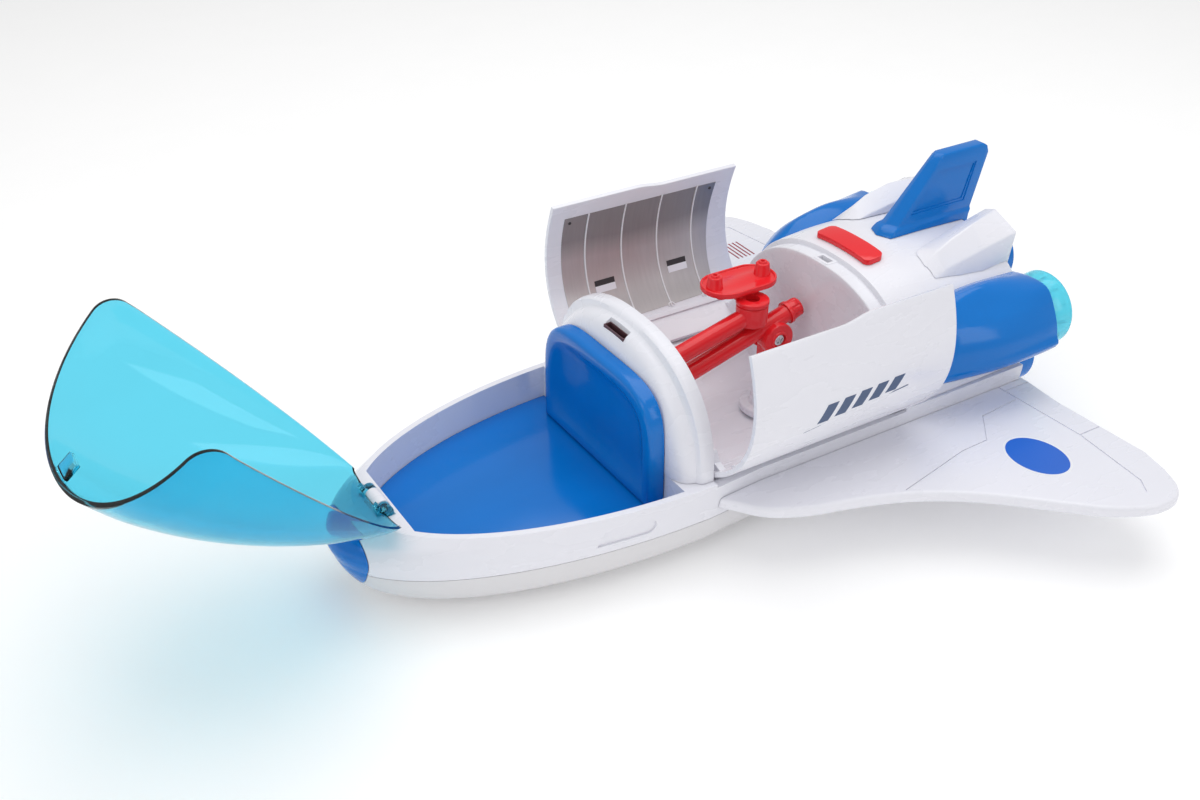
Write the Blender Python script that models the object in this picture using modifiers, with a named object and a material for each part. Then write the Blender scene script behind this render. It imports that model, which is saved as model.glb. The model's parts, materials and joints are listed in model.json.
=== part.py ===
"""Toy space shuttle: opening canopy, two bay doors, folding arm and free rolling wheels.

The nose points to -Y, port is +X and +Z is up. Sizes are written in millimetres and
turned to metres by MM. Shapes are drawn from the hull datum: y = 0 is the rear edge of
the front arch, z = 0 lies just under the cockpit rim, and the datum empty puts that
point at its place in the part's own frame.
"""
import bpy
import bmesh
from math import atan2, cos, pi, radians, sin
from mathutils import Matrix, Vector

MM = 0.001
GAP = 0.3

# Datum of the hull in the part's frame
DATUM_Y = 13.1
DATUM_Z = 37.0

# Hull, seen from above a half ellipse at the nose and straight sides behind it
HULL_REAR = 177.0
HULL_LEVELS = [
    # height, half width, reach of the nose ahead of the datum
    (-33.0, 46.0, 124.0),
    (-31.5, 50.0, 130.0),
    (-27.0, 54.5, 136.0),
    (-21.0, 57.0, 140.0),
    (-15.0, 58.0, 142.5),
    (-14.7, 58.0, 142.5),
    (-8.0, 59.2, 144.5),
    (-2.0, 60.0, 141.0),
    (1.5, 60.4, 135.0),
    (3.5, 60.4, 131.5),
]
SEAM_LEVEL = -15.0
RIM_LEVEL = 3.5
SIDE_TAPER = 1.8
SIDE_TAPER_LENGTH = 24.0
WALL = 3.0
NOSE_CAP_Y = -136.0

# Cockpit
COCKPIT_FRONT = -117.4
COCKPIT_REAR = -14.0
COCKPIT_FLOOR_TOP = -12.0
SIDE_PANEL = (-54.0, -28.0, -10.5, -3.0)
SIDE_PANEL_DEPTH = 0.9
RIM_HALF_WIDTH = 60.4
RIM_REACH = 131.5

# Arch shared by the bulkhead, the doors and the aft deck
ARCH_WIDTH = 57.5
ARCH_HEIGHT = 55.3
ARCH_POWER = 2.38
ARCH_BASE = RIM_LEVEL + GAP
DOOR_WALL = 2.0

# Cargo bay
BAY_REAR = 97.0
BAY_SILL = 2.0
REBATE_REAR = 104.4
TUB_TOP = -0.5
TUB_HALF_WIDTH = 46.0
TUB_DEPTH = 23.5
TUB_WALL = 2.5
TUB_FLOOR = TUB_TOP - TUB_DEPTH

# Bay doors: inboard hinge axis, and how far they stand open
DOOR_AXIS_X = 50.0
DOOR_AXIS_Z = 9.5
DOOR_FRONT = 0.8
DOOR_REAR = 103.6
DOOR_BOTTOM = 4.4
DOOR_OPEN = 68.0

# Canopy, hinged in a pocket of the nose deck
CANOPY_AXIS_Y = -122.5
CANOPY_AXIS_Z = 5.2
CANOPY_REAR = -7.6
CANOPY_FRONT = -120.5
CANOPY_FRONT_HEIGHT = 3.5
CANOPY_OPEN = 130.3
CANOPY_WALL = 1.8
CANOPY_POWER = 2.1
CANOPY_CORNER = 9.0
PIN_RADIUS = 1.3
PIN_HOLE = 1.6
EAR_IN = 5.3
EAR_OUT = 9.3
EAR_RADIUS = 2.9
LUG_RADIUS = 3.2
POCKET_FLOOR = 1.2
POCKET_FRONT = -126.8
POCKET_REAR = -119.0

# Arm, in one plane across the bay
ARM_X = -7.0
SHOULDER = Vector((ARM_X, 78.3, 17.4))
ELBOW = Vector((ARM_X, 14.6, 12.6))
WRIST = Vector((ARM_X, 66.4, 36.9))
TURRET_FOOT = TUB_FLOOR + 1.3
ARM_OFFSET = 6.3
ARM_TUBE = 4.3
TONGUE = 2.5
CHEEK = 5.0
PLATE_X = -11.0
PLATE_LOW = 5.0
PLATE_TOP = 7.6
PEG_TOP = 13.2
PEG_Y = 13.4

# Wheels
WHEEL_RADIUS = 6.5
WHEEL_WIDTH = 5.0
AXLE_Z = -DATUM_Z + WHEEL_RADIUS
NOSE_WHEEL_Y = -92.0
MAIN_WHEEL_Y = 116.0
MAIN_WHEEL_X = 32.0

WHITE = (0.86, 0.86, 0.90)
BELLY_WHITE = (0.84, 0.83, 0.82)
BLUE = (0.008, 0.13, 0.48)
RED = (0.72, 0.015, 0.02)
CYAN = (0.02, 0.60, 0.85)
GREY = (0.20, 0.21, 0.23)


def clear_scene():
    for obj in list(bpy.data.objects):
        bpy.data.objects.remove(obj, do_unlink=True)


def collection(name):
    made = bpy.data.collections.new(name)
    bpy.context.scene.collection.children.link(made)
    return made


def plastic(name, colour, roughness=0.3, metallic=0.0, alpha=1.0):
    material = bpy.data.materials.new(name)
    material.use_nodes = True
    shader = material.node_tree.nodes["Principled BSDF"]
    shader.inputs["Base Color"].default_value = (*colour, 1.0)
    shader.inputs["Roughness"].default_value = roughness
    shader.inputs["Metallic"].default_value = metallic
    shader.inputs["Alpha"].default_value = alpha
    return material


def empty(name, place, parent=None, turn=0.0, axis="X"):
    pivot = bpy.data.objects.new(name, None)
    pivot.location = Vector(place) * MM
    if turn:
        pivot.rotation_euler["XYZ".index(axis)] = radians(turn)
    pivot.parent = parent
    PARTS.objects.link(pivot)
    return pivot


def finish(name, bm, material, parent, smooth=35.0, cutter=False):
    """Turn a bmesh in millimetres into an object with its own material."""
    bmesh.ops.scale(bm, vec=(MM, MM, MM), verts=bm.verts)
    bmesh.ops.recalc_face_normals(bm, faces=bm.faces)
    mesh = bpy.data.meshes.new(name)
    bm.to_mesh(mesh)
    bm.free()
    obj = bpy.data.objects.new(name, mesh)
    obj.parent = parent
    if cutter:
        CUTTERS.objects.link(obj)
        obj.hide_render = True
        obj.display_type = "WIRE"
    else:
        PARTS.objects.link(obj)
        mesh.materials.append(material)
        mesh.shade_smooth()
        mesh.set_sharp_from_angle(angle=radians(smooth))
    return obj


def loft_mesh(rings, capped=True):
    """Skin between closed rings with the same number of points."""
    bm = bmesh.new()
    rows = [[bm.verts.new(point) for point in ring] for ring in rings]
    count = len(rings[0])
    for low, high in zip(rows, rows[1:]):
        for i in range(count):
            j = (i + 1) % count
            bm.faces.new((low[i], low[j], high[j], high[i]))
    if capped:
        bm.faces.new(rows[0])
        bm.faces.new(list(reversed(rows[-1])))
    return bm


def sheet_mesh(rows_of_points):
    """Open skin between rows of points."""
    bm = bmesh.new()
    rows = [[bm.verts.new(point) for point in row] for row in rows_of_points]
    for low, high in zip(rows, rows[1:]):
        for i in range(len(low) - 1):
            bm.faces.new((low[i], low[i + 1], high[i + 1], high[i]))
    return bm


def shell_mesh(outer, inner):
    """Wall between an outer and an inner skin, each given as rows of points."""
    bm = bmesh.new()
    skins = [[[bm.verts.new(point) for point in row] for row in rows] for rows in (outer, inner)]
    for skin in skins:
        for low, high in zip(skin, skin[1:]):
            for i in range(len(low) - 1):
                bm.faces.new((low[i], low[i + 1], high[i + 1], high[i]))
    outside, inside = skins
    for end in (0, -1):
        for i in range(len(outside[end]) - 1):
            bm.faces.new((outside[end][i], outside[end][i + 1], inside[end][i + 1], inside[end][i]))
        for i in range(len(outside) - 1):
            bm.faces.new((outside[i][end], outside[i + 1][end], inside[i + 1][end], inside[i][end]))
    return bm


def box_mesh(low, high):
    bm = bmesh.new()
    bmesh.ops.create_cube(bm, size=1.0)
    size = Vector(high) - Vector(low)
    centre = (Vector(high) + Vector(low)) / 2
    bmesh.ops.scale(bm, vec=size, verts=bm.verts)
    bmesh.ops.translate(bm, vec=centre, verts=bm.verts)
    return bm


def rod_mesh(start, end, radius, end_radius=None, sides=20):
    """Round bar between two points."""
    start, end = Vector(start), Vector(end)
    axis = end - start
    bm = bmesh.new()
    bmesh.ops.create_cone(bm, cap_ends=True, segments=sides, radius1=radius,
                          radius2=radius if end_radius is None else end_radius,
                          depth=axis.length)
    turn = Vector((0, 0, 1)).rotation_difference(axis.normalized()).to_matrix().to_4x4()
    bmesh.ops.transform(bm, matrix=Matrix.Translation((start + end) / 2) @ turn, verts=bm.verts)
    return bm


def prism_mesh(outline, low, high, axis="Z"):
    """Flat outline pushed along one axis; the outline holds the other two values."""
    def place(a, b, c):
        if axis == "Z":
            return (a, b, c)
        if axis == "Y":
            return (a, c, b)
        return (c, a, b)
    return loft_mesh([[place(a, b, level) for a, b in outline] for level in (low, high)])


def apply_modifiers(obj):
    """Replace an object's mesh by what its modifiers make of it."""
    bpy.context.view_layer.update()
    evaluated = obj.evaluated_get(bpy.context.evaluated_depsgraph_get())
    mesh = bpy.data.meshes.new_from_object(evaluated)
    obj.modifiers.clear()
    obj.data = mesh


def combine(obj, other, operation):
    modifier = obj.modifiers.new(operation.lower(), "BOOLEAN")
    modifier.operation = operation
    modifier.solver = "EXACT"
    modifier.object = other
    apply_modifiers(obj)
    obj.data.shade_smooth()
    obj.data.set_sharp_from_angle(angle=radians(35))


def cut(obj, *meshes):
    """Take shapes, given as bmeshes in the object's own frame, out of an object."""
    for bm in meshes:
        tool = finish("cutter_" + obj.name, bm, None, obj.parent, cutter=True)
        combine(obj, tool, "DIFFERENCE")
        bpy.data.objects.remove(tool, do_unlink=True)


def weld_on(obj, *meshes):
    """Join shapes, given as bmeshes in the object's own frame, to an object."""
    for bm in meshes:
        tool = finish("cutter_" + obj.name, bm, None, obj.parent, cutter=True)
        combine(obj, tool, "UNION")
        bpy.data.objects.remove(tool, do_unlink=True)


def round_edges(obj, width, segments=2, angle=40.0):
    modifier = obj.modifiers.new("rounded", "BEVEL")
    modifier.width = width * MM
    modifier.segments = segments
    modifier.limit_method = "ANGLE"
    modifier.angle_limit = radians(angle)
    apply_modifiers(obj)
    obj.data.shade_smooth()
    obj.data.set_sharp_from_angle(angle=radians(35))


def keep_side(bm, plane_y, keep_front):
    """Cut a closed mesh at a plane across the hull and close it again."""
    normal = (0, 1, 0) if keep_front else (0, -1, 0)
    geometry = bm.verts[:] + bm.edges[:] + bm.faces[:]
    bmesh.ops.bisect_plane(bm, geom=geometry, plane_co=(0, plane_y, 0), plane_no=normal,
                           clear_outer=True)
    rim = [edge for edge in bm.edges if edge.is_boundary]
    bmesh.ops.holes_fill(bm, edges=rim, sides=0)
    return bm


def hull_outline(half_width, reach, rear=HULL_REAR, points=36, height=0.0, grow=0.0):
    """Outline of the hull at one height, from the port rear corner round the nose."""
    half_width += grow
    reach += grow
    ring = [(half_width - SIDE_TAPER, rear, height)]
    ring.append((half_width - SIDE_TAPER, SIDE_TAPER_LENGTH, height))
    for i in range(points + 1):
        angle = pi * i / points
        ring.append((half_width * cos(angle), -reach * sin(angle), height))
    ring.append((-half_width + SIDE_TAPER, SIDE_TAPER_LENGTH, height))
    ring.append((-half_width + SIDE_TAPER, rear, height))
    return ring


def hull_mesh(low, high, grow=0.0):
    """Solid hull between two heights of the level table."""
    return loft_mesh([hull_outline(half_width, reach, height=z, grow=grow)
                      for z, half_width, reach in HULL_LEVELS if low <= z <= high])


def cockpit_outline(inset):
    """Plan of the cockpit opening, cut straight at the front and rear."""
    half_width = RIM_HALF_WIDTH - inset
    reach = RIM_REACH - inset
    front = COCKPIT_FRONT + inset - WALL
    rear = COCKPIT_REAR - inset + WALL
    start = atan2(-rear / reach, (1 - (rear / reach) ** 2) ** 0.5)
    end = atan2(-front / reach, (1 - (front / reach) ** 2) ** 0.5)
    steps = 12
    side = []
    for i in range(steps + 1):
        angle = start + (end - start) * i / steps
        side.append((half_width * cos(angle), -reach * sin(angle)))
    return side + [(-x, y) for x, y in reversed(side)]


def arch_ring(y, width, height, base=ARCH_BASE, points=32, grow=0.0, power=ARCH_POWER):
    """Closed arch section: a superellipse over a flat foot."""
    ring = []
    for i in range(points + 1):
        angle = pi * i / points
        c, s = cos(angle), sin(angle)
        x = (width + grow) * (abs(c) ** (2 / power)) * (1 if c >= 0 else -1)
        z = base + (height + grow - base) * (abs(s) ** (2 / power))
        ring.append((x, y, z))
    return ring


def make_hull(parent):
    upper = finish("hull_upper", keep_side(hull_mesh(-14.7, RIM_LEVEL), NOSE_CAP_Y, False),
                   plastic("hull_white", WHITE), parent)
    inner = RIM_HALF_WIDTH - SIDE_TAPER - WALL
    sill_reach = RIM_HALF_WIDTH + 5
    cut(upper,
        prism_mesh(cockpit_outline(WALL), -20, 10),
        box_mesh((-inner, 0, -20), (inner, BAY_REAR, 10)),
        box_mesh((-sill_reach, 0, BAY_SILL), (sill_reach, REBATE_REAR, 10)),
        box_mesh((-EAR_OUT - GAP, POCKET_FRONT, POCKET_FLOOR), (EAR_OUT + GAP, POCKET_REAR, 10)),
        *[door_swing_mesh(side) for side in (1, -1)])
    for side in (1, -1):
        carve_side_panel(upper, side)
    belly = finish("belly", keep_side(hull_mesh(-33.0, SEAM_LEVEL), NOSE_CAP_Y, False),
                   plastic("belly_white", BELLY_WHITE, 0.35), parent)
    cut(belly, tub_mesh(GAP, 0.0, BAY_REAR, -10))
    for side in (1, -1):
        cut(belly, wheel_well_mesh(side * MAIN_WHEEL_X, MAIN_WHEEL_Y, WHEEL_WIDTH / 2 + 1.5))
    cut(belly, wheel_well_mesh(0, NOSE_WHEEL_Y, 9.5))
    nose = finish("nose_cap", keep_side(hull_mesh(-33.0, RIM_LEVEL), NOSE_CAP_Y - GAP, True),
                  plastic("nose_blue", BLUE, 0.3), parent)
    return upper, belly, nose


def carve_side_panel(upper, side):
    """Shallow sunk panel in the cockpit's side wall, as deep everywhere as the skin curves."""
    front, rear, low, high = SIDE_PANEL
    radius = (high - low) / 2
    outline = [(front, low), (rear - radius, low)]
    for i in range(1, 8):
        angle = -pi / 2 + pi * i / 8
        outline.append((rear - radius + radius * cos(angle), low + radius + radius * sin(angle)))
    outline += [(rear - radius, high), (front, high)]
    tool = finish("cutter_side_panel", prism_mesh(outline, side * 45, side * 70, "X"), None,
                  upper.parent, cutter=True)
    cut(tool, hull_mesh(-14.7, RIM_LEVEL, -SIDE_PANEL_DEPTH))
    combine(upper, tool, "DIFFERENCE")
    bpy.data.objects.remove(tool, do_unlink=True)


def wheel_well_mesh(x, y, half_width):
    reach = WHEEL_RADIUS + 1.5
    return box_mesh((x - half_width, y - reach, -40), (x + half_width, y + reach, AXLE_Z + 7.6))


def door_swing_mesh(side):
    """Room that a door's lower edge needs in the rear rebate."""
    return rod_mesh((side * DOOR_AXIS_X, BAY_REAR - 0.1, DOOR_AXIS_Z),
                    (side * DOOR_AXIS_X, REBATE_REAR, DOOR_AXIS_Z), 10.2, sides=32)


def tub_profile(grow, points=24, power=3.0):
    """Lower half of a superellipse, open to the top."""
    half_width = TUB_HALF_WIDTH + grow
    depth = TUB_DEPTH + grow
    profile = []
    for i in range(points + 1):
        angle = pi * i / points
        c, s = cos(angle), sin(angle)
        x = half_width * (abs(c) ** (2 / power)) * (1 if c >= 0 else -1)
        profile.append((x, TUB_TOP - depth * (abs(s) ** (2 / power))))
    return profile


def tub_mesh(clearance, front, rear, top):
    """Outer form of the bay liner with room round it, for its pocket."""
    profile = tub_profile(TUB_WALL + clearance)
    profile.insert(0, (profile[0][0], top))
    profile.append((profile[-1][0], top))
    return prism_mesh(profile, front, rear, "Y")


def make_cockpit(parent):
    floor = finish("cockpit_floor", prism_mesh(cockpit_outline(WALL + GAP), -14.7, COCKPIT_FLOOR_TOP),
                   plastic("cockpit_blue", BLUE, 0.25), parent)
    foot = COCKPIT_FLOOR_TOP + GAP
    seat = finish("seat_back", prism_mesh(seat_outline(0.0, foot), -22.0, -14.3 - GAP, "Y"),
                  plastic("seat_blue", BLUE, 0.25), parent)
    round_edges(seat, 2.0)
    cut(seat, loft_mesh([[(x, y, z) for x, z in seat_outline(inset, foot + inset)]
                         for y, inset in ((-23.0, 5.0), (-21.2, 5.8), (-20.4, 7.5))]))
    return floor, seat


def seat_outline(inset, foot):
    """Front view of the seat back: straight sides under a rounded top."""
    outline = []
    for i in range(25):
        angle = pi * i / 24
        c, s = cos(angle), sin(angle)
        x = (43.0 - inset) * abs(c) ** 0.62 * (1 if c >= 0 else -1)
        outline.append((x, (41.0 - inset) * s ** 0.62))
    outline[0] = (43.0 - inset, foot)
    outline[-1] = (inset - 43.0, foot)
    return outline


def make_front_arch(parent):
    rings = [
        arch_ring(0.0, ARCH_WIDTH, ARCH_HEIGHT),
        arch_ring(-6.5, ARCH_WIDTH, ARCH_HEIGHT),
        arch_ring(-6.9, ARCH_WIDTH - 2.4, ARCH_HEIGHT - 2.6, power=CANOPY_POWER),
        arch_ring(-10.5, ARCH_WIDTH - 4.0, ARCH_HEIGHT - 4.6, power=CANOPY_POWER),
        arch_ring(-14.3, 45.5, 42.5),
    ]
    arch = finish("front_arch", loft_mesh(rings), plastic("arch_white", WHITE), parent)
    holes = [rod_mesh((side * DOOR_AXIS_X, -5, DOOR_AXIS_Z), (side * DOOR_AXIS_X, 1, DOOR_AXIS_Z), 1.9)
             for side in (1, -1)]
    cut(arch, box_mesh((-6.5, -12.2, 44.0), (6.5, -8.4, 60.0)), *holes)
    return arch


def make_bay_tub(parent):
    flange = RIM_HALF_WIDTH - SIDE_TAPER - WALL - GAP
    outer = tub_profile(TUB_WALL)
    outline = [(flange, TUB_TOP), (flange, TUB_TOP - 2.0)]
    outline += [(x, z) for x, z in outer if z < TUB_TOP - 2.0]
    outline += [(-flange, TUB_TOP - 2.0), (-flange, TUB_TOP)]
    tub = finish("bay_tub", prism_mesh(outline, GAP, BAY_REAR - GAP, "Y"),
                 plastic("bay_white", WHITE, 0.3), parent)
    inner = tub_profile(0.0)
    inner.insert(0, (inner[0][0], 10))
    inner.append((inner[-1][0], 10))
    cut(tub, prism_mesh(inner, GAP + 2.0, BAY_REAR - GAP - 2.0, "Y"))
    return tub


DECK_SECTIONS = [
    (BAY_REAR, ARCH_WIDTH - 2.4, ARCH_HEIGHT - 2.5),
    (REBATE_REAR - 0.2, ARCH_WIDTH - 2.4, ARCH_HEIGHT - 2.5),
    (REBATE_REAR, ARCH_WIDTH, ARCH_HEIGHT),
    (115.0, 57.5, 56.5),
    (126.0, 57.4, 57.4),
    (150.0, 57.0, 57.4),
    (175.0, 56.2, 56.7),
    (179.0, 55.6, 56.2),
    (181.5, 53.0, 54.0),
]


def deck_mesh(grow=0.0, first=0):
    rings = [arch_ring(y, w, h, ARCH_BASE, grow=grow) for y, w, h in DECK_SECTIONS[first:]]
    if grow:
        y, w, h = DECK_SECTIONS[-1]
        rings.append(arch_ring(y + grow, w, h, ARCH_BASE, grow=grow))
        rings.append(arch_ring(y + grow + 0.1, 1.0, 6.0, ARCH_BASE))
    return loft_mesh(rings)


def make_aft_deck(parent):
    deck = finish("aft_deck", deck_mesh(), plastic("deck_white", WHITE), parent)
    holes = [rod_mesh((side * DOOR_AXIS_X, BAY_REAR - 1, DOOR_AXIS_Z),
                      (side * DOOR_AXIS_X, REBATE_REAR + 5, DOOR_AXIS_Z), 1.9) for side in (1, -1)]
    cut(deck, box_mesh((-3.2, BAY_REAR + 1.2, 45.0), (3.2, BAY_REAR + 4.6, 60.0)),
        *[door_swing_mesh(side) for side in (1, -1)], *holes)
    return deck


WING_ROOT = 52.0
WING_RISE = 0.022
WING_OUTLINE = [
    # root at the front, round the leading edge and tip, to the root at the rear
    (59.5, 2.0), (66.0, 7.0), (73.0, 12.0), (79.0, 19.5), (84.5, 31.0), (89.0, 46.0),
    (94.0, 60.0), (101.0, 75.0), (110.5, 89.5), (122.0, 103.0), (138.0, 119.0), (150.0, 132.0),
    (157.5, 145.0), (159.5, 154.0), (158.5, 162.0), (153.0, 168.5), (143.0, 173.5),
    (130.0, 177.2), (105.0, 177.2), (82.0, 177.4), (61.0, 180.0),
]
ELEVON_LINE = [(56.0, 163.5), (106.0, 163.5), (143.0, 157.5), (149.5, 153.0)]
ELEVON_SPLITS = [((62.0, 163.8), (62.0, 178.0)), ((106.0, 163.8), (106.0, 175.5))]
GROOVE_WIDTH = 0.7
GROOVE_DEPTH = 0.5
WING_UNDER = -10.5
WING_TOP = -5.0


def make_wing(parent, side):
    """Flat wing that rises a little to its tip, cut to lie along the hull's side."""
    name = "wing_port" if side > 0 else "wing_starboard"
    outline = [(WING_ROOT, 2.0)] + WING_OUTLINE + [(WING_ROOT, 180.0)]

    def surface(points, base):
        return [(side * x, y, base + WING_RISE * (x - WING_ROOT)) for x, y in points]

    wing = finish(name, loft_mesh([surface(outline, WING_UNDER), surface(outline, WING_TOP)]),
                  plastic(name + "_white", WHITE), parent)
    round_edges(wing, 1.4)
    lines = list(zip(ELEVON_LINE, ELEVON_LINE[1:])) + ELEVON_SPLITS
    for i, (start, end) in enumerate(lines):
        strip = groove_outline(Vector(start), Vector(end))
        bottom = WING_TOP - GROOVE_DEPTH - 0.03 * i
        cut(wing, loft_mesh([surface(strip, bottom), surface(strip, WING_TOP + 2.0)]))
    cut(wing, hull_mesh(-14.7, RIM_LEVEL, GAP))
    return wing


def groove_outline(start, end):
    """Narrow strip along a line, a little longer than it."""
    along = (end - start).normalized()
    across = Vector((-along.y, along.x)) * GROOVE_WIDTH / 2
    start = start - along * GROOVE_WIDTH / 2
    end = end + along * GROOVE_WIDTH / 2
    return [tuple(start + across), tuple(end + across), tuple(end - across), tuple(start - across)]


BOOSTER_SECTIONS = [
    # y, then x and z from the deck over the crown, the crease and the round side to the foot
    (105.5, (50, 22), (51, 23), (52, 23), (53, 22), (53.6, 20), (54, 18), (54, 16), (53, 14), (50, 14)),
    (110.0, (44, 30), (48, 34), (52, 34), (56.5, 29.5), (59.3, 24), (60.3, 18.5), (60.3, 14), (57, 9.5), (48, 9.5)),
    (118.0, (42, 38), (49, 41.5), (54, 39.8), (59.6, 34.8), (62.6, 28), (64, 21.6), (64, 15.8), (57.2, 9.5), (46, 9.5)),
    (127.0, (42, 43), (50, 46.6), (56.5, 42.8), (62, 37.6), (65.4, 30.6), (67.1, 23.6), (67.2, 17), (57.4, 8.5), (44, 8.5)),
    (144.0, (42, 45.6), (51, 49.8), (58.4, 44), (65, 38.6), (69, 31.4), (70.9, 24.4), (71, 17.8), (57.7, 7), (44, 7)),
    (160.0, (42, 45.6), (51, 49.2), (60.2, 44.9), (66.2, 39.5), (70.2, 32.1), (72.3, 25.2), (72.6, 18.8), (57.9, 6), (44, 6)),
    (178.0, (42, 44.6), (51, 46.4), (61.8, 45.8), (66.9, 40.4), (70.9, 32.8), (72.9, 26), (73.5, 20.4), (57.9, 5), (44, 5)),
]
BOOSTER_INNER = ((38.0, 18.0), (38.0, 36.0))
BOOSTER_REAR = 178.0
NOZZLE_X = 53.5
NOZZLE_Z = 28.5
NOZZLE_PROFILE = [
    # radius and distance behind the pod, from the middle of the dish round to its foot
    (0.0, 3.0), (12.6, 3.0), (14.6, 6.0), (16.2, 10.2), (16.5, 10.7), (17.1, 10.7), (17.4, 10.2),
    (16.9, 6.0), (16.0, 1.0), (15.4, 0.0), (0.0, 0.0),
]


def make_booster(parent, side):
    tag = "port" if side > 0 else "starboard"
    rings = []
    for y, *points in BOOSTER_SECTIONS:
        foot = points[-1][1]
        inner = [(min(x, points[0][0]), max(z, foot)) for x, z in BOOSTER_INNER]
        inner = [(x, min(z, points[0][1] - 1.0)) for x, z in inner]
        rings.append([(side * x, y, z) for x, z in list(points) + inner])
    pod = finish("booster_" + tag, loft_mesh(rings), plastic("booster_" + tag + "_blue", BLUE), parent)
    cut(pod, deck_mesh(GAP, 2))
    nozzle = turned("booster_nozzle_" + tag, NOZZLE_PROFILE,
                    plastic("nozzle_" + tag + "_cyan", CYAN, 0.1, alpha=0.6), parent,
                    (side * NOZZLE_X, BOOSTER_REAR + GAP, NOZZLE_Z), 40)
    cut(nozzle, deck_mesh(GAP, 2))
    return pod, nozzle


REAR_POD_SECTIONS = [
    # y, then x and z of the inner top edge, the crest, the ridge and the outer lower edge
    (133.4, (19.5, 54.6), (28.0, 52.6), (35.0, 49.6), (36.0, 48.8)),
    (141.0, (19.0, 57.0), (28.5, 58.6), (35.0, 52.4), (37.0, 47.2)),
    (149.0, (18.5, 58.6), (28.5, 62.8), (35.4, 54.2), (38.0, 46.4)),
    (162.0, (17.6, 61.4), (27.5, 66.4), (36.0, 57.2), (38.5, 46.0)),
    (178.0, (16.6, 64.4), (24.0, 67.2), (36.8, 60.8), (37.0, 45.6)),
    (182.0, (16.3, 65.0), (22.4, 67.4), (37.0, 61.5), (35.0, 45.3)),
]


def make_rear_pod(parent, side):
    """White pod beside the fin, with flat facets, let down into the deck."""
    tag = "port" if side > 0 else "starboard"
    rings = []
    for y, *points in REAR_POD_SECTIONS:
        inner = points[0][0]
        outer = points[3][0]
        section = [(inner, 40.0)] + points + [(outer - 4.0, 36.0)]
        rings.append([(side * x, y, z) for x, z in section])
    pod = finish("rear_pod_" + tag, loft_mesh(rings), plastic("rear_pod_" + tag + "_white", WHITE), parent)
    round_edges(pod, 0.8, 2, 25.0)
    cut(pod, deck_mesh(GAP, 2))
    return pod


FIN_SECTIONS = [
    # height, front, rear, half width
    (48.0, 124.0, 181.0, 7.5),
    (58.5, 131.0, 182.5, 6.8),
    (60.5, 133.0, 183.8, 6.3),
    (61.5, 135.5, 184.4, 5.2),
    (86.5, 156.8, 192.8, 3.6),
    (89.6, 159.5, 191.8, 3.4),
    (91.0, 161.2, 189.4, 3.0),
]
FIN_PANEL = [(65.5, 146.0, 179.5), (83.5, 161.0, 185.5)]
FIN_PANEL_DEPTH = 0.6


def make_fin(parent):
    def section(z, front, rear, half):
        return [(half, front + 3, z), (half, rear, z), (-half, rear, z), (-half, front + 3, z), (0, front, z)]

    fin = finish("tail_fin", loft_mesh([section(*row) for row in FIN_SECTIONS]), plastic("fin_blue", BLUE), parent)
    cut(fin, deck_mesh(GAP, 2))
    foot, top = FIN_SECTIONS[3], FIN_SECTIONS[4]
    for side in (1, -1):
        rings = []
        for lift in (-FIN_PANEL_DEPTH, 2.0):
            corners = []
            for z, front, rear in FIN_PANEL:
                share = (z - foot[0]) / (top[0] - foot[0])
                x = side * (foot[3] + (top[3] - foot[3]) * share + lift)
                corners.append([(x, front, z), (x, rear, z)])
            rings.append(corners[0] + corners[1][::-1])
        cut(fin, loft_mesh(rings))
    return fin


def make_button(parent):
    """Push bar with rounded ends that follows the curve of the deck."""
    outline = []
    for side, y, start in ((1, 116.6, 0.0), (-1, 116.6, 0.5), (-1, 112.3, 1.0), (1, 112.3, 1.5)):
        for i in range(5):
            angle = pi * (start + i / 8)
            outline.append((side * 15.0 + 3.0 * cos(angle), y + 3.0 * sin(angle)))
    button = finish("launch_button", prism_mesh(outline, 50.0, 64.0), plastic("button_red", RED), parent)
    crown = finish("cutter_crown", deck_mesh(2.6, 2), None, parent, cutter=True)
    combine(button, crown, "INTERSECT")
    bpy.data.objects.remove(crown, do_unlink=True)
    round_edges(button, 0.8, 2, 50.0)
    cut(button, deck_mesh(GAP, 2))
    return button


def turned(name, profile, material, parent, place, steps=32):
    """Profile of radius and height turned about the vertical axis, then laid along the hull."""
    bm = bmesh.new()
    verts = [bm.verts.new((radius, 0, height)) for radius, height in profile]
    for a, b in zip(verts, verts[1:]):
        bm.edges.new((a, b))
    obj = finish(name, bm, material, parent)
    screw = obj.modifiers.new("turned", "SCREW")
    screw.axis = "Z"
    screw.steps = steps
    screw.render_steps = steps
    screw.use_merge_vertices = True
    screw.merge_threshold = 0.00001
    screw.use_normal_calculate = True
    apply_modifiers(obj)
    obj.data.transform(Matrix.Translation(Vector(place) * MM) @ Matrix.Rotation(-pi / 2, 4, "X"))
    obj.data.shade_smooth()
    obj.data.set_sharp_from_angle(angle=radians(35))
    return obj


BELL_PROFILE = [
    # radius and distance ahead of the mount, from the middle of the mouth round to the foot
    (0.0, 9.0), (7.0, 9.0), (10.5, 15.0), (13.4, 21.0), (14.8, 26.4), (15.2, 27.0),
    (16.4, 27.0), (16.8, 26.4), (16.6, 24.0), (15.4, 18.0), (14.0, 11.0), (13.6, 6.0),
    (13.6, 1.0), (13.0, 0.0), (0.0, 0.0),
]
BELL_START = 181.8


def make_engine_bell(parent, name, x, z):
    """Round bell with a hollow mouth."""
    return turned(name, BELL_PROFILE, plastic(name + "_blue", BLUE), parent, (x, BELL_START, z))


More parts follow.
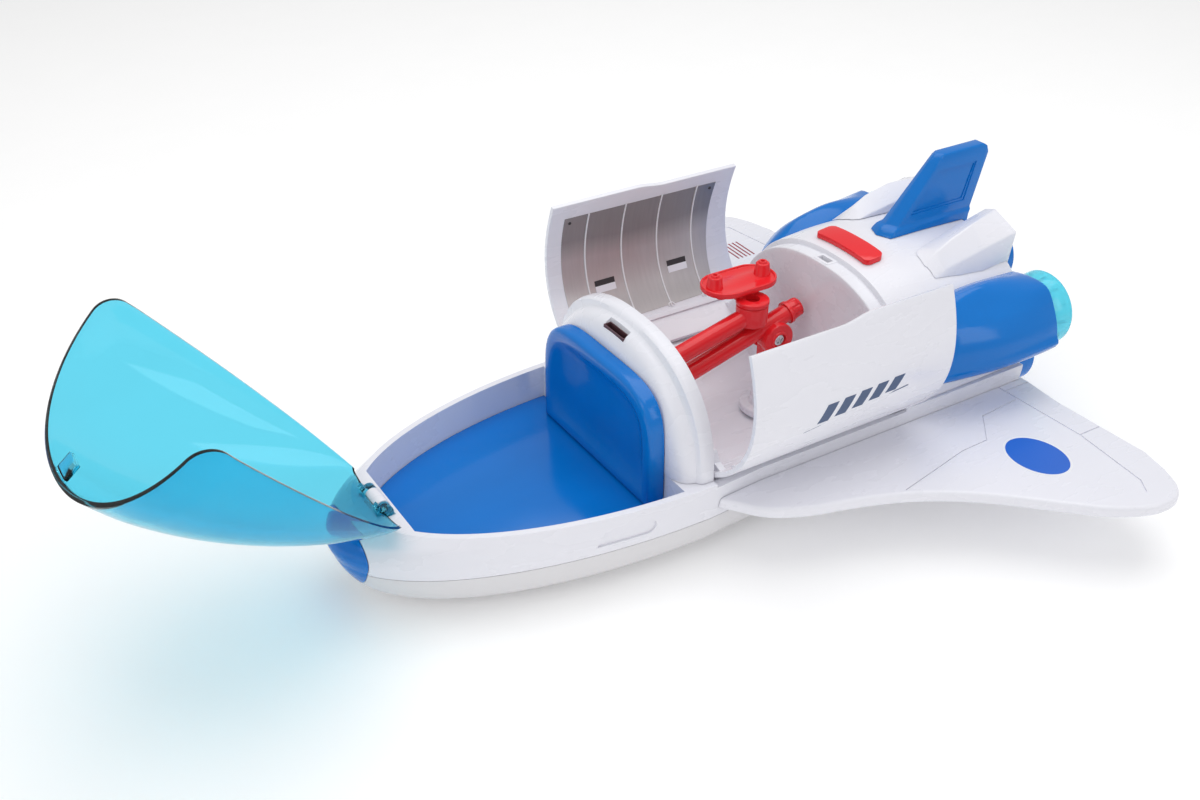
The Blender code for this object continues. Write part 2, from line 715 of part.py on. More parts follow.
def make_rear_wall(parent):
    """Flat tail plate under the deck that carries the lower bells."""
    outline = [(43, -30), (51.5, -20), (51.5, 3.2), (-51.5, 3.2), (-51.5, -20), (-43, -30)]
    plate = finish("tail_plate", prism_mesh(outline, HULL_REAR + GAP, BELL_START - GAP, "Y"),
                   plastic("tail_blue", BLUE), parent)
    round_edges(plate, 1.0)
    return plate


def door_profile(points=16):
    """Outer line of the port door when shut, from its lower edge to the middle."""
    profile = []
    for i in range(points + 1):
        angle = (pi / 2) * i / points
        x = ARCH_WIDTH * cos(angle) ** (2 / ARCH_POWER)
        z = ARCH_BASE + (ARCH_HEIGHT - ARCH_BASE) * sin(angle) ** (2 / ARCH_POWER)
        profile.append((max(x, 0.6), max(z, DOOR_BOTTOM)))
    return profile


def make_door(parent, side):
    tag = "port" if side > 0 else "starboard"
    pivot = empty("door_axis_" + tag, (side * DOOR_AXIS_X, 0, DOOR_AXIS_Z), parent, side * DOOR_OPEN, "Y")
    rows = [[(side * x - side * DOOR_AXIS_X, y, z - DOOR_AXIS_Z) for x, z in door_profile()]
            for y in (DOOR_FRONT, DOOR_REAR)]
    if side > 0:
        rows.reverse()
    door = finish("bay_door_" + tag, sheet_mesh(rows), plastic("door_" + tag + "_white", WHITE), pivot)
    wall = door.modifiers.new("wall", "SOLIDIFY")
    wall.thickness = DOOR_WALL * MM
    wall.offset = -1.0
    wall.use_even_offset = True
    apply_modifiers(door)
    for low, high, pin_low, pin_high in ((3.0, 6.0, -4.0, 4.0), (90.0, 93.0, 92.0, 108.0)):
        outline = [(3.0, -3.0), (6.2, -2.5), (6.2, 8.0), (2.0, 3.0), (-3.0, 2.0), (-3.6, -1.0), (-1.0, -3.4)]
        if side < 0:
            outline = [(-x, z) for x, z in outline]
        weld_on(door, prism_mesh(outline, low, high, "Y"),
                rod_mesh((0, pin_low, 0), (0, pin_high, 0), 1.5, sides=16))
    return door


def canopy_row(y, width, height, points=24):
    row = []
    for i in range(points + 1):
        angle = pi * i / points
        c, s = cos(angle), sin(angle)
        x = width * (abs(c) ** (2 / CANOPY_POWER)) * (1 if c >= 0 else -1)
        z = ARCH_BASE + height * (abs(s) ** (2 / CANOPY_POWER))
        row.append((x, y - CANOPY_AXIS_Y, z - CANOPY_AXIS_Z))
    return row


def corner_outline(radius, turn):
    """What lies outside a rounded corner at the origin of the other two axes."""
    outline = [(turn, -1.0), (turn, radius)]
    for i in range(9):
        angle = (pi / 2) * i / 8
        outline.append((-turn * (radius - radius * cos(angle)), radius - radius * sin(angle)))
    outline.append((-turn * radius, -1.0))
    return outline


def make_canopy(parent):
    pivot = empty("canopy_axis", (0, CANOPY_AXIS_Y, CANOPY_AXIS_Z), parent, CANOPY_OPEN, "X")
    outer = []
    inner = []
    steps = 14
    rise = ARCH_HEIGHT - ARCH_BASE - CANOPY_FRONT_HEIGHT
    for i in range(steps + 1):
        t = i / steps
        y = CANOPY_REAR + (CANOPY_FRONT - CANOPY_REAR) * t
        width = min(ARCH_WIDTH + 14 * t, RIM_HALF_WIDTH * (1 - (y / RIM_REACH) ** 2) ** 0.5 - 0.6)
        height = CANOPY_FRONT_HEIGHT + rise * (1 - t ** 1.9)
        outer.append(canopy_row(y, width, height))
        inner.append(canopy_row(y, width - CANOPY_WALL, height - CANOPY_WALL))
    canopy = finish("canopy", shell_mesh(outer, inner), plastic("canopy_cyan", CYAN, 0.05, alpha=0.4), pivot)
    rear = CANOPY_REAR - CANOPY_AXIS_Y
    front = CANOPY_FRONT - CANOPY_AXIS_Y
    foot = ARCH_BASE - CANOPY_AXIS_Z
    rear_corner = [(rear + a, foot + b) for a, b in corner_outline(CANOPY_CORNER, 1.0)]
    cut(canopy, prism_mesh(rear_corner, -70, 70, "X"))
    notch = EAR_IN - 0.1
    cut(canopy, rod_mesh((-notch, 0, 0), (notch, 0, 0), LUG_RADIUS + GAP, sides=28))
    weld_on(canopy, box_mesh((-5.0, rear - 3.0, 46.5 - CANOPY_AXIS_Z), (5.0, rear - 1.4, 54.5 - CANOPY_AXIS_Z)))
    for side in (1, -1):
        weld_on(canopy,
                box_mesh((min(side * EAR_IN, side * EAR_OUT), 0.0, -0.6),
                         (max(side * EAR_IN, side * EAR_OUT), front + 3.0, 1.4)),
                rod_mesh((side * EAR_IN, 0, 0), (side * EAR_OUT, 0, 0), EAR_RADIUS, sides=24))
    weld_on(canopy, rod_mesh((-EAR_OUT + 1, 0, 0), (EAR_OUT - 1, 0, 0), PIN_RADIUS, sides=16))
    return canopy


def make_hinge_tab(parent):
    """White lug in the nose deck's pocket that holds the canopy's pin."""
    y, z = CANOPY_AXIS_Y, CANOPY_AXIS_Z
    half = EAR_IN - GAP
    foot = POCKET_FLOOR + GAP
    tab = finish("canopy_hinge", rod_mesh((-half, y, z), (half, y, z), LUG_RADIUS, sides=28),
                 plastic("hinge_white", WHITE), parent)
    weld_on(tab, box_mesh((-half, y - LUG_RADIUS, foot), (half, y + LUG_RADIUS, z)),
            box_mesh((-half + 0.2, POCKET_FRONT + GAP, foot), (half - 0.2, y, 3.2)))
    cut(tab, rod_mesh((-half - 1, y, z), (half + 1, y, z), PIN_HOLE, sides=16))
    return tab


def make_turret(parent):
    floor = TURRET_FOOT
    x, y, z = SHOULDER
    turret = finish("arm_turret", rod_mesh((x, y, floor), (x, y, floor + 4), 12.0, sides=32),
                    plastic("turret_red", RED), parent)
    round_edges(turret, 1.0)
    weld_on(turret,
            rod_mesh((x, y, floor + 3), (x, y, floor + 12), 8.0, 6.0, sides=28),
            box_mesh((x - TONGUE, y - 5.5, floor + 2), (x + TONGUE, y + 5.5, z)),
            rod_mesh((x - TONGUE, y, z), (x + TONGUE, y, z), 7.0, sides=28))
    return turret


def arm_directions():
    """Along the folded links from elbow to shoulder, and square to them upwards."""
    along = (SHOULDER - ELBOW).normalized()
    return along, Vector((0, -along.z, along.y))


def make_arm(parent):
    along, above = arm_directions()
    span = SHOULDER - ELBOW
    shoulder = empty("shoulder_axis", SHOULDER, parent)
    over = above * ARM_OFFSET
    start = above * -ARM_OFFSET - span
    down_tube = (over - start).normalized()
    lower = finish("arm_lower", rod_mesh(start + down_tube, over + down_tube * 16.0, ARM_TUBE),
                   plastic("arm_lower_red", RED), shoulder)
    for x in (CHEEK, -CHEEK):
        weld_on(lower, rod_mesh((x - 2, 0, 0), (x + 2, 0, 0), 8.0, sides=28))
        cut(lower, rod_mesh((x - 2.3, -span.y, -span.z), (x + 2.3, -span.y, -span.z), 7.0, sides=28))
    weld_on(lower, rod_mesh(over + down_tube * 9.0, over + down_tube * 10.6, 5.4),
            rod_mesh(over + down_tube * 10.5, over + down_tube * 16.5, 4.9, 4.5),
            rod_mesh((-TONGUE, -span.y, -span.z), (TONGUE, -span.y, -span.z), 6.6, sides=28),
            rod_mesh((CHEEK + 1.9, 0, 0), (CHEEK + 2.6, 0, 0), 4.0, 3.6, sides=24))
    cut(lower, rod_mesh((-TONGUE - GAP, 0, 0), (TONGUE + GAP, 0, 0), 7.4, sides=32))

    elbow = empty("elbow_axis", ELBOW, parent)
    reach = WRIST - ELBOW
    socket = Vector((0, reach.y, reach.z - 5.0))
    upper = finish("arm_upper", rod_mesh(over + along, socket, ARM_TUBE), plastic("arm_upper_red", RED), elbow)
    for x in (CHEEK, -CHEEK):
        weld_on(upper, rod_mesh((x - 2, 0, 0), (x + 2, 0, 0), 6.6, sides=28))
    weld_on(upper, rod_mesh(reach - Vector((0, 0, 9.5)), reach, 7.4, sides=28))
    cut(upper, rod_mesh((-TONGUE - GAP, 0, 0), (TONGUE + GAP, 0, 0), 7.1, sides=32),
        rod_mesh(reach - Vector((0, 0, 3.0)), reach + Vector((0, 0, 1)), 3.3))

    wrist = empty("wrist_axis", WRIST, parent)
    plate = finish("foot_plate", stadium_mesh(PLATE_X, 11.0, 8.0, PLATE_LOW, PLATE_TOP),
                   plastic("plate_red", RED), wrist)
    round_edges(plate, 0.5)
    cut(plate, stadium_mesh(PLATE_X, 9.8, 8.0, PLATE_TOP - 0.5, PLATE_TOP + 1.0))
    weld_on(plate,
            rod_mesh((0, 0, GAP), (0, 0, 2.6), 7.7, sides=28),
            box_mesh((-7.0, -5.0, GAP), (-3.0, 5.0, PLATE_LOW + 1.0)))
    for y in (-PEG_Y, PEG_Y):
        weld_on(plate, rod_mesh((PLATE_X, y, PLATE_TOP - 1.0), (PLATE_X, y, PEG_TOP), 4.0, 3.1),
                rod_mesh((PLATE_X, y * 0.7, 0.6), (PLATE_X, y * 0.7, PLATE_LOW + 1.0), 2.4, 3.0, 16))
        cut(plate, rod_mesh((PLATE_X, y, PEG_TOP - 2.0), (PLATE_X, y, PEG_TOP + 1.0), 1.2, sides=12))
    cut(plate, rod_mesh((0, 0, -1), (0, 0, 3.2), 3.3))
    return lower, upper, plate


def stadium_mesh(x, radius, half_straight, low, high):
    outline = []
    for i in range(13):
        angle = pi * i / 12
        outline.append((x + radius * cos(angle), half_straight + radius * sin(angle)))
    for i in range(13):
        angle = pi + pi * i / 12
        outline.append((x + radius * cos(angle), -half_straight + radius * sin(angle)))
    return prism_mesh(outline, low, high)


def wheel_mesh(x, width):
    bm = loft_mesh([[(x + offset, r * cos(2 * pi * i / 28), r * sin(2 * pi * i / 28)) for i in range(28)]
                    for offset, r in ((-width / 2, WHEEL_RADIUS - 0.8), (-width / 2 + 0.8, WHEEL_RADIUS),
                                      (width / 2 - 0.8, WHEEL_RADIUS), (width / 2, WHEEL_RADIUS - 0.8))])
    return bm


def make_wheels(parent):
    made = []
    for name, x in (("port", MAIN_WHEEL_X), ("starboard", -MAIN_WHEEL_X)):
        hub = empty("wheel_axis_" + name, (x, MAIN_WHEEL_Y, AXLE_Z), parent)
        wheel = finish("wheel_" + name, wheel_mesh(0, WHEEL_WIDTH), plastic("tyre_" + name, GREY, 0.6), hub)
        half = WHEEL_WIDTH / 2 + 1.2
        weld_on(wheel, rod_mesh((-half, 0, 0), (half, 0, 0), 1.5, sides=16))
        made.append(wheel)
    hub = empty("wheel_axis_nose", (0, NOSE_WHEEL_Y, AXLE_Z), parent)
    nose = finish("wheel_nose", wheel_mesh(-4.5, 4.0), plastic("tyre_nose", GREY, 0.6), hub)
    weld_on(nose, rod_mesh((-9.2, 0, 0), (9.2, 0, 0), 1.5, sides=16), wheel_mesh(4.5, 4.0))
    made.append(nose)
    return made


def main():
    datum = empty("shuttle_datum", (0, DATUM_Y, DATUM_Z))
    make_hull(datum)
    make_cockpit(datum)
    make_front_arch(datum)
    make_bay_tub(datum)
    make_aft_deck(datum)
    for side in (1, -1):
        make_wing(datum, side)
        make_booster(datum, side)
        make_rear_pod(datum, side)
        make_door(datum, side)
    make_fin(datum)
    make_button(datum)
    make_rear_wall(datum)
    make_engine_bell(datum, "engine_bell_top", 0, 30)
    make_engine_bell(datum, "engine_bell_port", 23.5, -13.5)
    make_engine_bell(datum, "engine_bell_starboard", -23.5, -13.5)
    make_canopy(datum)
    make_hinge_tab(datum)
    make_turret(datum)
    make_arm(datum)
    make_wheels(datum)


clear_scene()
PARTS = collection("toy_shuttle")
CUTTERS = collection("cutters")
main()
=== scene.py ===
"""Looks of a toy space shuttle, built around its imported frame.

Shapes are drawn in millimetres from the hull datum, with the nose to -Y, port to +X and
+Z up, and are turned to metres and set in place when a piece is finished. Moving pieces
are drawn in the frame of their own hinge: the canopy and the doors shut, and then turned
open as they are finished, and the arm as it rests.
"""
import json
from math import atan2, cos, pi, radians, sin, sqrt

import bmesh
import bpy
from bpy.props import FloatProperty, FloatVectorProperty, IntProperty, PointerProperty
from bpy.types import Operator, Panel, PropertyGroup
from mathutils import Matrix, Vector


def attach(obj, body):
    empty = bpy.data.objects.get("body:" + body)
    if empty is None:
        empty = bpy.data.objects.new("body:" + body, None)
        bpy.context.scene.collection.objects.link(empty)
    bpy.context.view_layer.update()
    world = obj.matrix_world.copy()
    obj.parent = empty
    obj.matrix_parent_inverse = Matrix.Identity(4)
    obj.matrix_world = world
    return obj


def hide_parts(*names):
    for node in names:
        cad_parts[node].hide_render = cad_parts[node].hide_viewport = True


bl_info = {
    "name": "Toy Space Shuttle",
    "version": (1, 0, 0),
    "blender": (4, 5, 0),
    "location": "View3D > Sidebar > Shuttle",
    "description": "Builds the looks of a toy space shuttle around its packed frame",
    "category": "Object",
}

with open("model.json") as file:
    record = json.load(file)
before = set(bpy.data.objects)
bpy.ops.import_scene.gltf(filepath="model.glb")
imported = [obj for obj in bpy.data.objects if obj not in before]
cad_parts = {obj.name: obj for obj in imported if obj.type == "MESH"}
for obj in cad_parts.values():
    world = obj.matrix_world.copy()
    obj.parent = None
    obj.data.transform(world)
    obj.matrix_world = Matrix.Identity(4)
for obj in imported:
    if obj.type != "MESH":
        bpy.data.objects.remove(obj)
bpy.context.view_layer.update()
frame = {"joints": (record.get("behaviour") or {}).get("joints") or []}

MM = 0.001
GAP = 0.3
SIDES = (("port", 1), ("starboard", -1))
HINGES = {joint["name"]: Vector(joint["pos_m"]) / MM for joint in frame["joints"]}

# Canopy, hinged in a pocket of the nose deck
CANOPY_AXIS = Vector((0.0, -122.5, 5.2))
CANOPY_REAR = -7.6
CANOPY_FRONT = -120.5
CANOPY_FRONT_HEIGHT = 3.5
CANOPY_OPEN = 130.3
CANOPY_WALL = 1.8
CANOPY_POWER = 2.1
CANOPY_CORNER = 9.0
CANOPY_SIDE_GAP = 0.6
EAR_IN = 5.3
EAR_OUT = 9.3
EAR_RADIUS = 2.9
LUG_RADIUS = 3.2
POCKET_FLOOR = 1.2
POCKET_FRONT = -126.8
POCKET_REAR = -119.0

# The hull datum in the frame, known from the canopy's hinge
DATUM = HINGES["canopy_tip"] - CANOPY_AXIS

# Hull: height, half width and reach of the nose
HULL_REAR = 177.0
UPPER_LEVELS = [
    (-14.7, 58.0, 142.5), (-8.0, 59.2, 144.5), (-2.0, 60.0, 141.0), (1.5, 60.4, 135.0),
    (3.5, 60.4, 131.5),
]
BELLY_LEVELS = [
    (-33.0, 46.0, 124.0), (-31.5, 50.0, 130.0), (-27.0, 54.5, 136.0), (-21.0, 57.0, 140.0),
    (-15.0, 58.0, 142.5),
]
RIM_LEVEL, RIM_HALF_WIDTH, RIM_REACH = UPPER_LEVELS[-1]
SIDE_TAPER = 1.8
SIDE_TAPER_LENGTH = 24.0
WALL = 3.0
NOSE_CAP_Y = -136.0
COCKPIT_FRONT = -117.4
COCKPIT_REAR = -14.0
COCKPIT_FLOOR_TOP = -12.0
SIDE_PANEL = (-54.0, -28.0, -10.5, -3.0)
SIDE_PANEL_DEPTH = 0.9
HATCH_Y = 60.0
SCREW_PLACES = ((30.0, -72.0), (36.0, 12.0), (40.0, 150.0))

# Seat back: half width, height and roundness, then inset and place of its rows
SEAT_HALF_WIDTH = 43.0
SEAT_HEIGHT = 41.0
SEAT_ROUNDNESS = 0.45
SEAT_ROWS = [
    (0.0, -14.7), (0.0, -19.4), (0.35, -20.8), (1.1, -21.7), (2.3, -22.0), (4.2, -22.0),
    (5.6, -21.6), (6.8, -20.9), (8.6, -19.8), (11.5, -18.6), (15.5, -17.8), (20.0, -17.5),
]

# Arch shared by the bulkhead, the doors and the aft deck
ARCH_WIDTH = 57.5
ARCH_HEIGHT = 55.3
ARCH_POWER = 2.38
ARCH_BASE = RIM_LEVEL + GAP
ARCH_ROWS = [
    # y, and how much narrower and lower than the arch
    (0.0, 0.0, 0.0), (-3.6, 0.0, 0.0), (-5.0, -0.3, -0.3), (-6.1, -1.0, -1.1),
    (-6.8, -2.1, -2.3), (-7.1, -2.5, -2.7), (-9.0, -3.2, -3.6), (-10.8, -4.2, -4.8),
    (-12.2, -5.7, -6.5), (-13.4, -8.0, -9.0), (-14.1, -10.6, -11.6), (-14.3, -12.0, -12.8),
]
ARCH_FULL_ROWS = 4
# Floor thickness of the painted-shade linings in the catch slots
SHADE_LINING_FLOOR = 0.45

# Cargo bay
BAY_REAR = 97.0
BAY_SILL = 2.0
REBATE_REAR = 104.4
TUB_TOP = -0.5
TUB_HALF_WIDTH = 46.0
TUB_DEPTH = 23.5
TUB_WALL = 2.5
TUB_FLOOR = TUB_TOP - TUB_DEPTH
FLANGE = 2.0

# Bay doors
DOOR_AXIS_X = 50.0
DOOR_AXIS_Z = 9.5
DOOR_FRONT = 0.8
DOOR_REAR = 103.6
DOOR_BOTTOM = 4.4
DOOR_OPEN = 68.0
DOOR_WALL = 2.0
DOOR_SWING = 10.2
DOOR_PIN = 1.5
DOOR_PIN_HOLE = 1.9
DOOR_EAR = [
    (3.0, -3.0), (6.2, -2.5), (6.2, 8.0), (2.0, 3.0), (-3.0, 2.0), (-3.6, -1.0), (-1.0, -3.4),
]
SEAM_FRONT = 1.9
SEAM_REAR = -0.2
SEAM_BEND = (46.0, 62.0)
SEAM_SPREAD = 8.0
FOIL_DEPTH = 2.25
FOIL_AREA = [(17.5, 8.5), (19.0, 89.0), (84.5, 93.5), (85.0, 8.5)]
# Painted reflection on the foil: how far its edge wavers, and the heights in metres over which it
# fades from light to dark
FOIL_REFLECTION_WAVE = 0.012
FOIL_REFLECTION_EDGE = (0.083, 0.093)
RIB_START = 21.25
RIB_STEP = 20.3
CATCH_PLACES = (25.0, 66.5)
CATCH_LENGTH = 11.0
RIVET_PLACES = ((82.5, 11.5), (82.0, 90.5))
BAR_COUNT = 5
BAR_STEP = 8.6

# Tail
DECK_SECTIONS = [
    (REBATE_REAR, 57.5, 55.3), (115.0, 57.5, 56.5), (126.0, 57.4, 57.4), (150.0, 57.0, 57.4),
    (175.0, 56.2, 56.7), (179.0, 55.6, 56.2), (181.5, 53.0, 54.0),
]
DECK_LIP = [
    # y, and how much narrower and lower than the arch; the first rows are a shallow dish
    (BAY_REAR + 1.6, -16.0, -16.5), (BAY_REAR + 0.9, -10.0, -10.5), (BAY_REAR + 0.2, -5.0, -5.3),
    (BAY_REAR, -3.4, -3.5), (BAY_REAR + 0.2, -2.7, -2.8), (BAY_REAR + 0.6, -2.4, -2.5),
    (REBATE_REAR - 0.2, -2.4, -2.5), (REBATE_REAR, -0.6, -0.6),
    (REBATE_REAR + 0.3, -0.15, -0.15),
]
DISH_EDGE = 3.4
DISH_SLOPE = 0.8
BOOSTER_SECTIONS = [
    # y, then x and z from the deck over the crown, the crease and the round side to the foot
    (105.5, (50, 22), (51, 23), (52, 23), (53, 22), (53.6, 20), (54, 18), (54, 16), (53, 14),
     (50, 14)),
    (110.0, (44, 30), (48, 34), (52, 34), (56.5, 29.5), (59.3, 24), (60.3, 18.5), (60.3, 14),
     (57, 9.5), (48, 9.5)),
    (118.0, (42, 38), (49, 41.5), (54, 39.8), (59.6, 34.8), (62.6, 28), (64, 21.6), (64, 15.8),
     (57.2, 9.5), (46, 9.5)),
    (127.0, (42, 43), (50, 46.6), (56.5, 42.8), (62, 37.6), (65.4, 30.6), (67.1, 23.6),
     (67.2, 17), (57.4, 8.5), (44, 8.5)),
    (144.0, (42, 45.6), (51, 49.8), (58.4, 44), (65, 38.6), (69, 31.4), (70.9, 24.4),
     (71, 17.8), (57.7, 7), (44, 7)),
    (160.0, (42, 45.6), (51, 49.2), (60.2, 44.9), (66.2, 39.5), (70.2, 32.1), (72.3, 25.2),
     (72.6, 18.8), (57.9, 6), (44, 6)),
    (178.0, (42, 44.6), (51, 46.4), (61.8, 45.8), (66.9, 40.4), (70.9, 32.8), (72.9, 26),
     (73.5, 20.4), (57.9, 5), (44, 5)),
]
BOOSTER_INNER = ((38.0, 18.0), (38.0, 36.0))
BOOSTER_REAR = 178.0
NOZZLE_X = 53.5
NOZZLE_Z = 28.5
NOZZLE_RIBS = 12
NOZZLE_PROFILE = [
    (0.0, 3.0), (12.6, 3.0), (14.6, 6.0), (16.2, 10.2), (16.5, 10.7), (17.1, 10.7),
    (17.4, 10.2), (16.9, 6.0), (16.0, 1.0), (15.4, 0.0), (0.0, 0.0),
]
REAR_POD_SECTIONS = [
    # y, then x and z of the inner top edge, the crest, the ridge and the outer lower edge
    (133.4, (19.5, 54.6), (28.0, 52.6), (35.0, 49.6), (36.0, 48.8)),
    (141.0, (19.0, 57.0), (28.5, 58.6), (35.0, 52.4), (37.0, 47.2)),
    (149.0, (18.5, 58.6), (28.5, 62.8), (35.4, 54.2), (38.0, 46.4)),
    (162.0, (17.6, 61.4), (27.5, 66.4), (36.0, 57.2), (38.5, 46.0)),
    (178.0, (16.6, 64.4), (24.0, 67.2), (36.8, 60.8), (37.0, 45.6)),
    (182.0, (16.3, 65.0), (22.4, 67.4), (37.0, 61.5), (35.0, 45.3)),
]
FIN_SECTIONS = [
    # height, front, rear, half width
    (48.0, 124.0, 181.0, 7.5), (58.5, 131.0, 182.5, 6.8), (60.5, 133.0, 183.8, 6.3),
    (61.5, 135.5, 184.4, 5.2), (86.5, 156.8, 192.8, 3.6), (89.6, 159.5, 191.8, 3.4),
    (91.0, 161.2, 189.4, 3.0),
]
FIN_FLAT = (FIN_SECTIONS[3], FIN_SECTIONS[4])
FIN_PANEL = [(65.5, 146.0, 179.5), (83.5, 161.0, 185.5)]
BUTTON_Y = 114.45
BUTTON_RISE = 2.6
TAIL_OUTLINE = [(43, -30), (51.5, -20), (51.5, 3.2), (-51.5, 3.2), (-51.5, -20), (-43, -30)]
BELL_START = 181.8
BELL_PLACES = (("top", 0, 30), ("port", 23.5, -13.5), ("starboard", -23.5, -13.5))
BELL_PROFILE = [
    (0.0, 9.0), (7.0, 9.0), (10.5, 15.0), (13.4, 21.0), (14.8, 26.4), (15.2, 27.0),
    (16.4, 27.0), (16.8, 26.4), (16.6, 24.0), (15.4, 18.0), (14.0, 11.0), (13.6, 6.0),
    (13.6, 1.0), (13.0, 0.0), (0.0, 0.0),
]

# Wings
WING_START = 2.0
WING_ROOT = 52.0
WING_RISE = 0.022
WING_UNDER = -10.5
WING_TOP = -5.0
WING_OUTLINE = [
    (59.5, 2.0), (66.0, 7.0), (73.0, 12.0), (79.0, 19.5), (84.5, 31.0), (89.0, 46.0),
    (94.0, 60.0), (101.0, 75.0), (110.5, 89.5), (122.0, 103.0), (138.0, 119.0), (150.0, 132.0),
    (157.5, 145.0), (159.5, 154.0), (158.5, 162.0), (153.0, 168.5), (143.0, 173.5),
    (130.0, 177.2), (105.0, 177.2), (82.0, 177.4), (61.0, 180.0),
]
WING_CURVED = 17
ELEVON_LINE = [(56.0, 163.5), (106.0, 163.5), (143.0, 157.5), (149.5, 153.0)]
ELEVON_SPLITS = [((62.0, 163.8), (62.0, 178.0)), ((106.0, 163.8), (106.0, 175.5))]
PANEL_LINE = [(70.0, 162.0), (72.0, 139.0), (87.0, 126.0), (87.5, 111.0), (96.0, 70.5)]
PANEL_SHARE = 0.7
DISC_PLACE = (107.5, 135.2)
DISC_RADII = (16.0, 12.4)
DISC_RING = 0.93
STRIPE = [(110.0, 139.0), (127.0, 139.0), (127.0, 139.9), (110.0, 139.9)]
STRIPE_STEP = 2.6

# Arm
ARM_X = -7.0
SHOULDER = Vector((ARM_X, 78.3, 17.4))
ELBOW = Vector((ARM_X, 14.6, 12.6))
WRIST = Vector((ARM_X, 66.4, 36.9))
TURRET_FOOT = TUB_FLOOR + 1.3
TURRET_RISE = 13.9
SHOULDER_EYE = 7.0
ELBOW_EYE = 6.6
ARM_OFFSET = 6.3
ARM_TUBE = 4.3
TONGUE = 2.5
CHEEK = 5.0
WRIST_RING = 7.4
PLATE_X = -11.0
PLATE_LOW = 5.0
PLATE_TOP = 7.6
PLATE_RADIUS = 11.0
PLATE_STRAIGHT = 8.0
PEG_TOP = 13.2
PEG_Y = 13.4
WRIST_PIN = 3.3

# Wheels
WHEEL_RADIUS = 6.5
WHEEL_WIDTH = 5.0
NOSE_WHEEL_WIDTH = 4.0
NOSE_WHEEL_X = 4.5
AXLE_RADIUS = 1.5
AXLE_Z = WHEEL_RADIUS - DATUM.z
NOSE_WHEEL_Y = -92.0
MAIN_WHEEL_Y = 116.0
MAIN_WHEEL_X = 32.0
TREAD_RIBS = 30

# Stage
CAMERA_PLACE = Vector((402.6, -270.3, 322.6))
CAMERA_AZIMUTH = 58.0
CAMERA_ELEVATION = 32.71
CAMERA_ROLL = 0.2
CAMERA_LENS = 39.75
FLOOR_HALF = 6.0
FLOOR_GLOW = 0.13
WORLD_LIGHT = 0.57
LIT_PLACE = (0.0, 0.0, 0.05)
LIGHTS = (
    # name, place, size and power
    ("overhead", (-0.1, 0.15, 1.1), (1.0, 1.2), 6.2),
    ("left_box", (0.35, -1.2, 0.9), (0.7, 0.9), 2.6),
    ("right_box", (1.3, 0.55, 0.8), (0.5, 0.9), 2.4),
)


def length(name, description, default):
    return FloatProperty(name=name, description=description, default=default, unit="LENGTH")


def colour(name, description, *default):
    return FloatVectorProperty(name=name, description=description, default=default, size=3,
                               subtype="COLOR")


class ShuttleSizes(PropertyGroup):
    """Small sizes of the moulded detail."""

    edge_radius: length("Edge radius", "Rounding of moulded edges", 0.0005)
    groove_width: length("Groove width", "Width of panel lines", 0.0007)
    groove_depth: length("Groove depth", "Depth of panel lines", 0.0005)
    print_height: length("Print height", "Thickness of printed marks", 0.00006)
    rib_count: IntProperty(name="Door ribs", description="Curved ribs inside each bay door",
                           default=4, min=1, max=9)
    stripe_count: IntProperty(name="Wing stripes", description="Red stripes on the wing",
                              default=5, min=1, max=12)


class ShuttleColours(PropertyGroup):
    """Colours of the plastics and the foil."""

    white: colour("White", "Upper hull, wings and doors", 0.82, 0.82, 0.88)
    belly: colour("Belly white", "Hull below the seam", 0.74, 0.73, 0.75)
    blue: colour("Blue", "Nose, cockpit, boosters and fin", 0.001, 0.175, 0.60)
    red: colour("Red", "Arm and button", 0.84, 0.018, 0.026)
    cyan: colour("Cyan", "Clear canopy", 0.13, 0.67, 0.86)
    nozzle: colour("Nozzle cyan", "Clear booster nozzles", 0.14, 0.80, 0.97)
    rim: colour("Canopy rim", "Cut edge of the clear canopy", 0.03, 0.18, 0.78)
    silver: colour("Silver", "Foil inside the doors", 0.40, 0.38, 0.385)
    tyre: colour("Tyre grey", "Wheels", 0.10, 0.105, 0.115)
    mark: colour("Mark blue", "Bars printed on the doors", 0.06, 0.10, 0.20)


# Mesh making, in millimetres

def loft(rings, mark=0):
    """Closed skin over rings of points, marked with a material's index."""
    bm = bmesh.new()
    rows = [[bm.verts.new(point) for point in ring] for ring in rings]
    count = len(rings[0])
    for low, high in zip(rows, rows[1:]):
        for i in range(count):
            j = (i + 1) % count
            bm.faces.new((low[i], low[j], high[j], high[i]))
    bm.faces.new(rows[0])
    bm.faces.new(list(reversed(rows[-1])))
    for face in bm.faces:
        face.material_index = mark
    return bm


def shell(outer, inner, rim_mark=0):
    """Wall between two skins of rows, its rim marked with its own material."""
    bm = bmesh.new()
    out, inn = [[[bm.verts.new(point) for point in row] for row in rows]
                for rows in (outer, inner)]
    for skin in (out, inn):
        for low, high in zip(skin, skin[1:]):
            for i in range(len(low) - 1):
                bm.faces.new((low[i], low[i + 1], high[i + 1], high[i]))
    rim = []
    for end in (0, -1):
        for i in range(len(out[end]) - 1):
            rim.append((out[end][i], out[end][i + 1], inn[end][i + 1], inn[end][i]))
        for i in range(len(out) - 1):
            rim.append((out[i][end], out[i + 1][end], inn[i + 1][end], inn[i][end]))
    for corners in rim:
        bm.faces.new(corners).material_index = rim_mark
    return bm


def box(low, high, mark=0):
    bm = bmesh.new()
    bmesh.ops.create_cube(bm, size=1.0)
    bmesh.ops.scale(bm, vec=Vector(high) - Vector(low), verts=bm.verts)
    bmesh.ops.translate(bm, vec=(Vector(high) + Vector(low)) / 2, verts=bm.verts)
    for face in bm.faces:
        face.material_index = mark
    return bm


def turn_from_up(direction):
    """Matrix that turns +Z to a direction."""
    turn = Vector((0, 0, 1)).rotation_difference(Vector(direction).normalized())
    return turn.to_matrix().to_4x4()


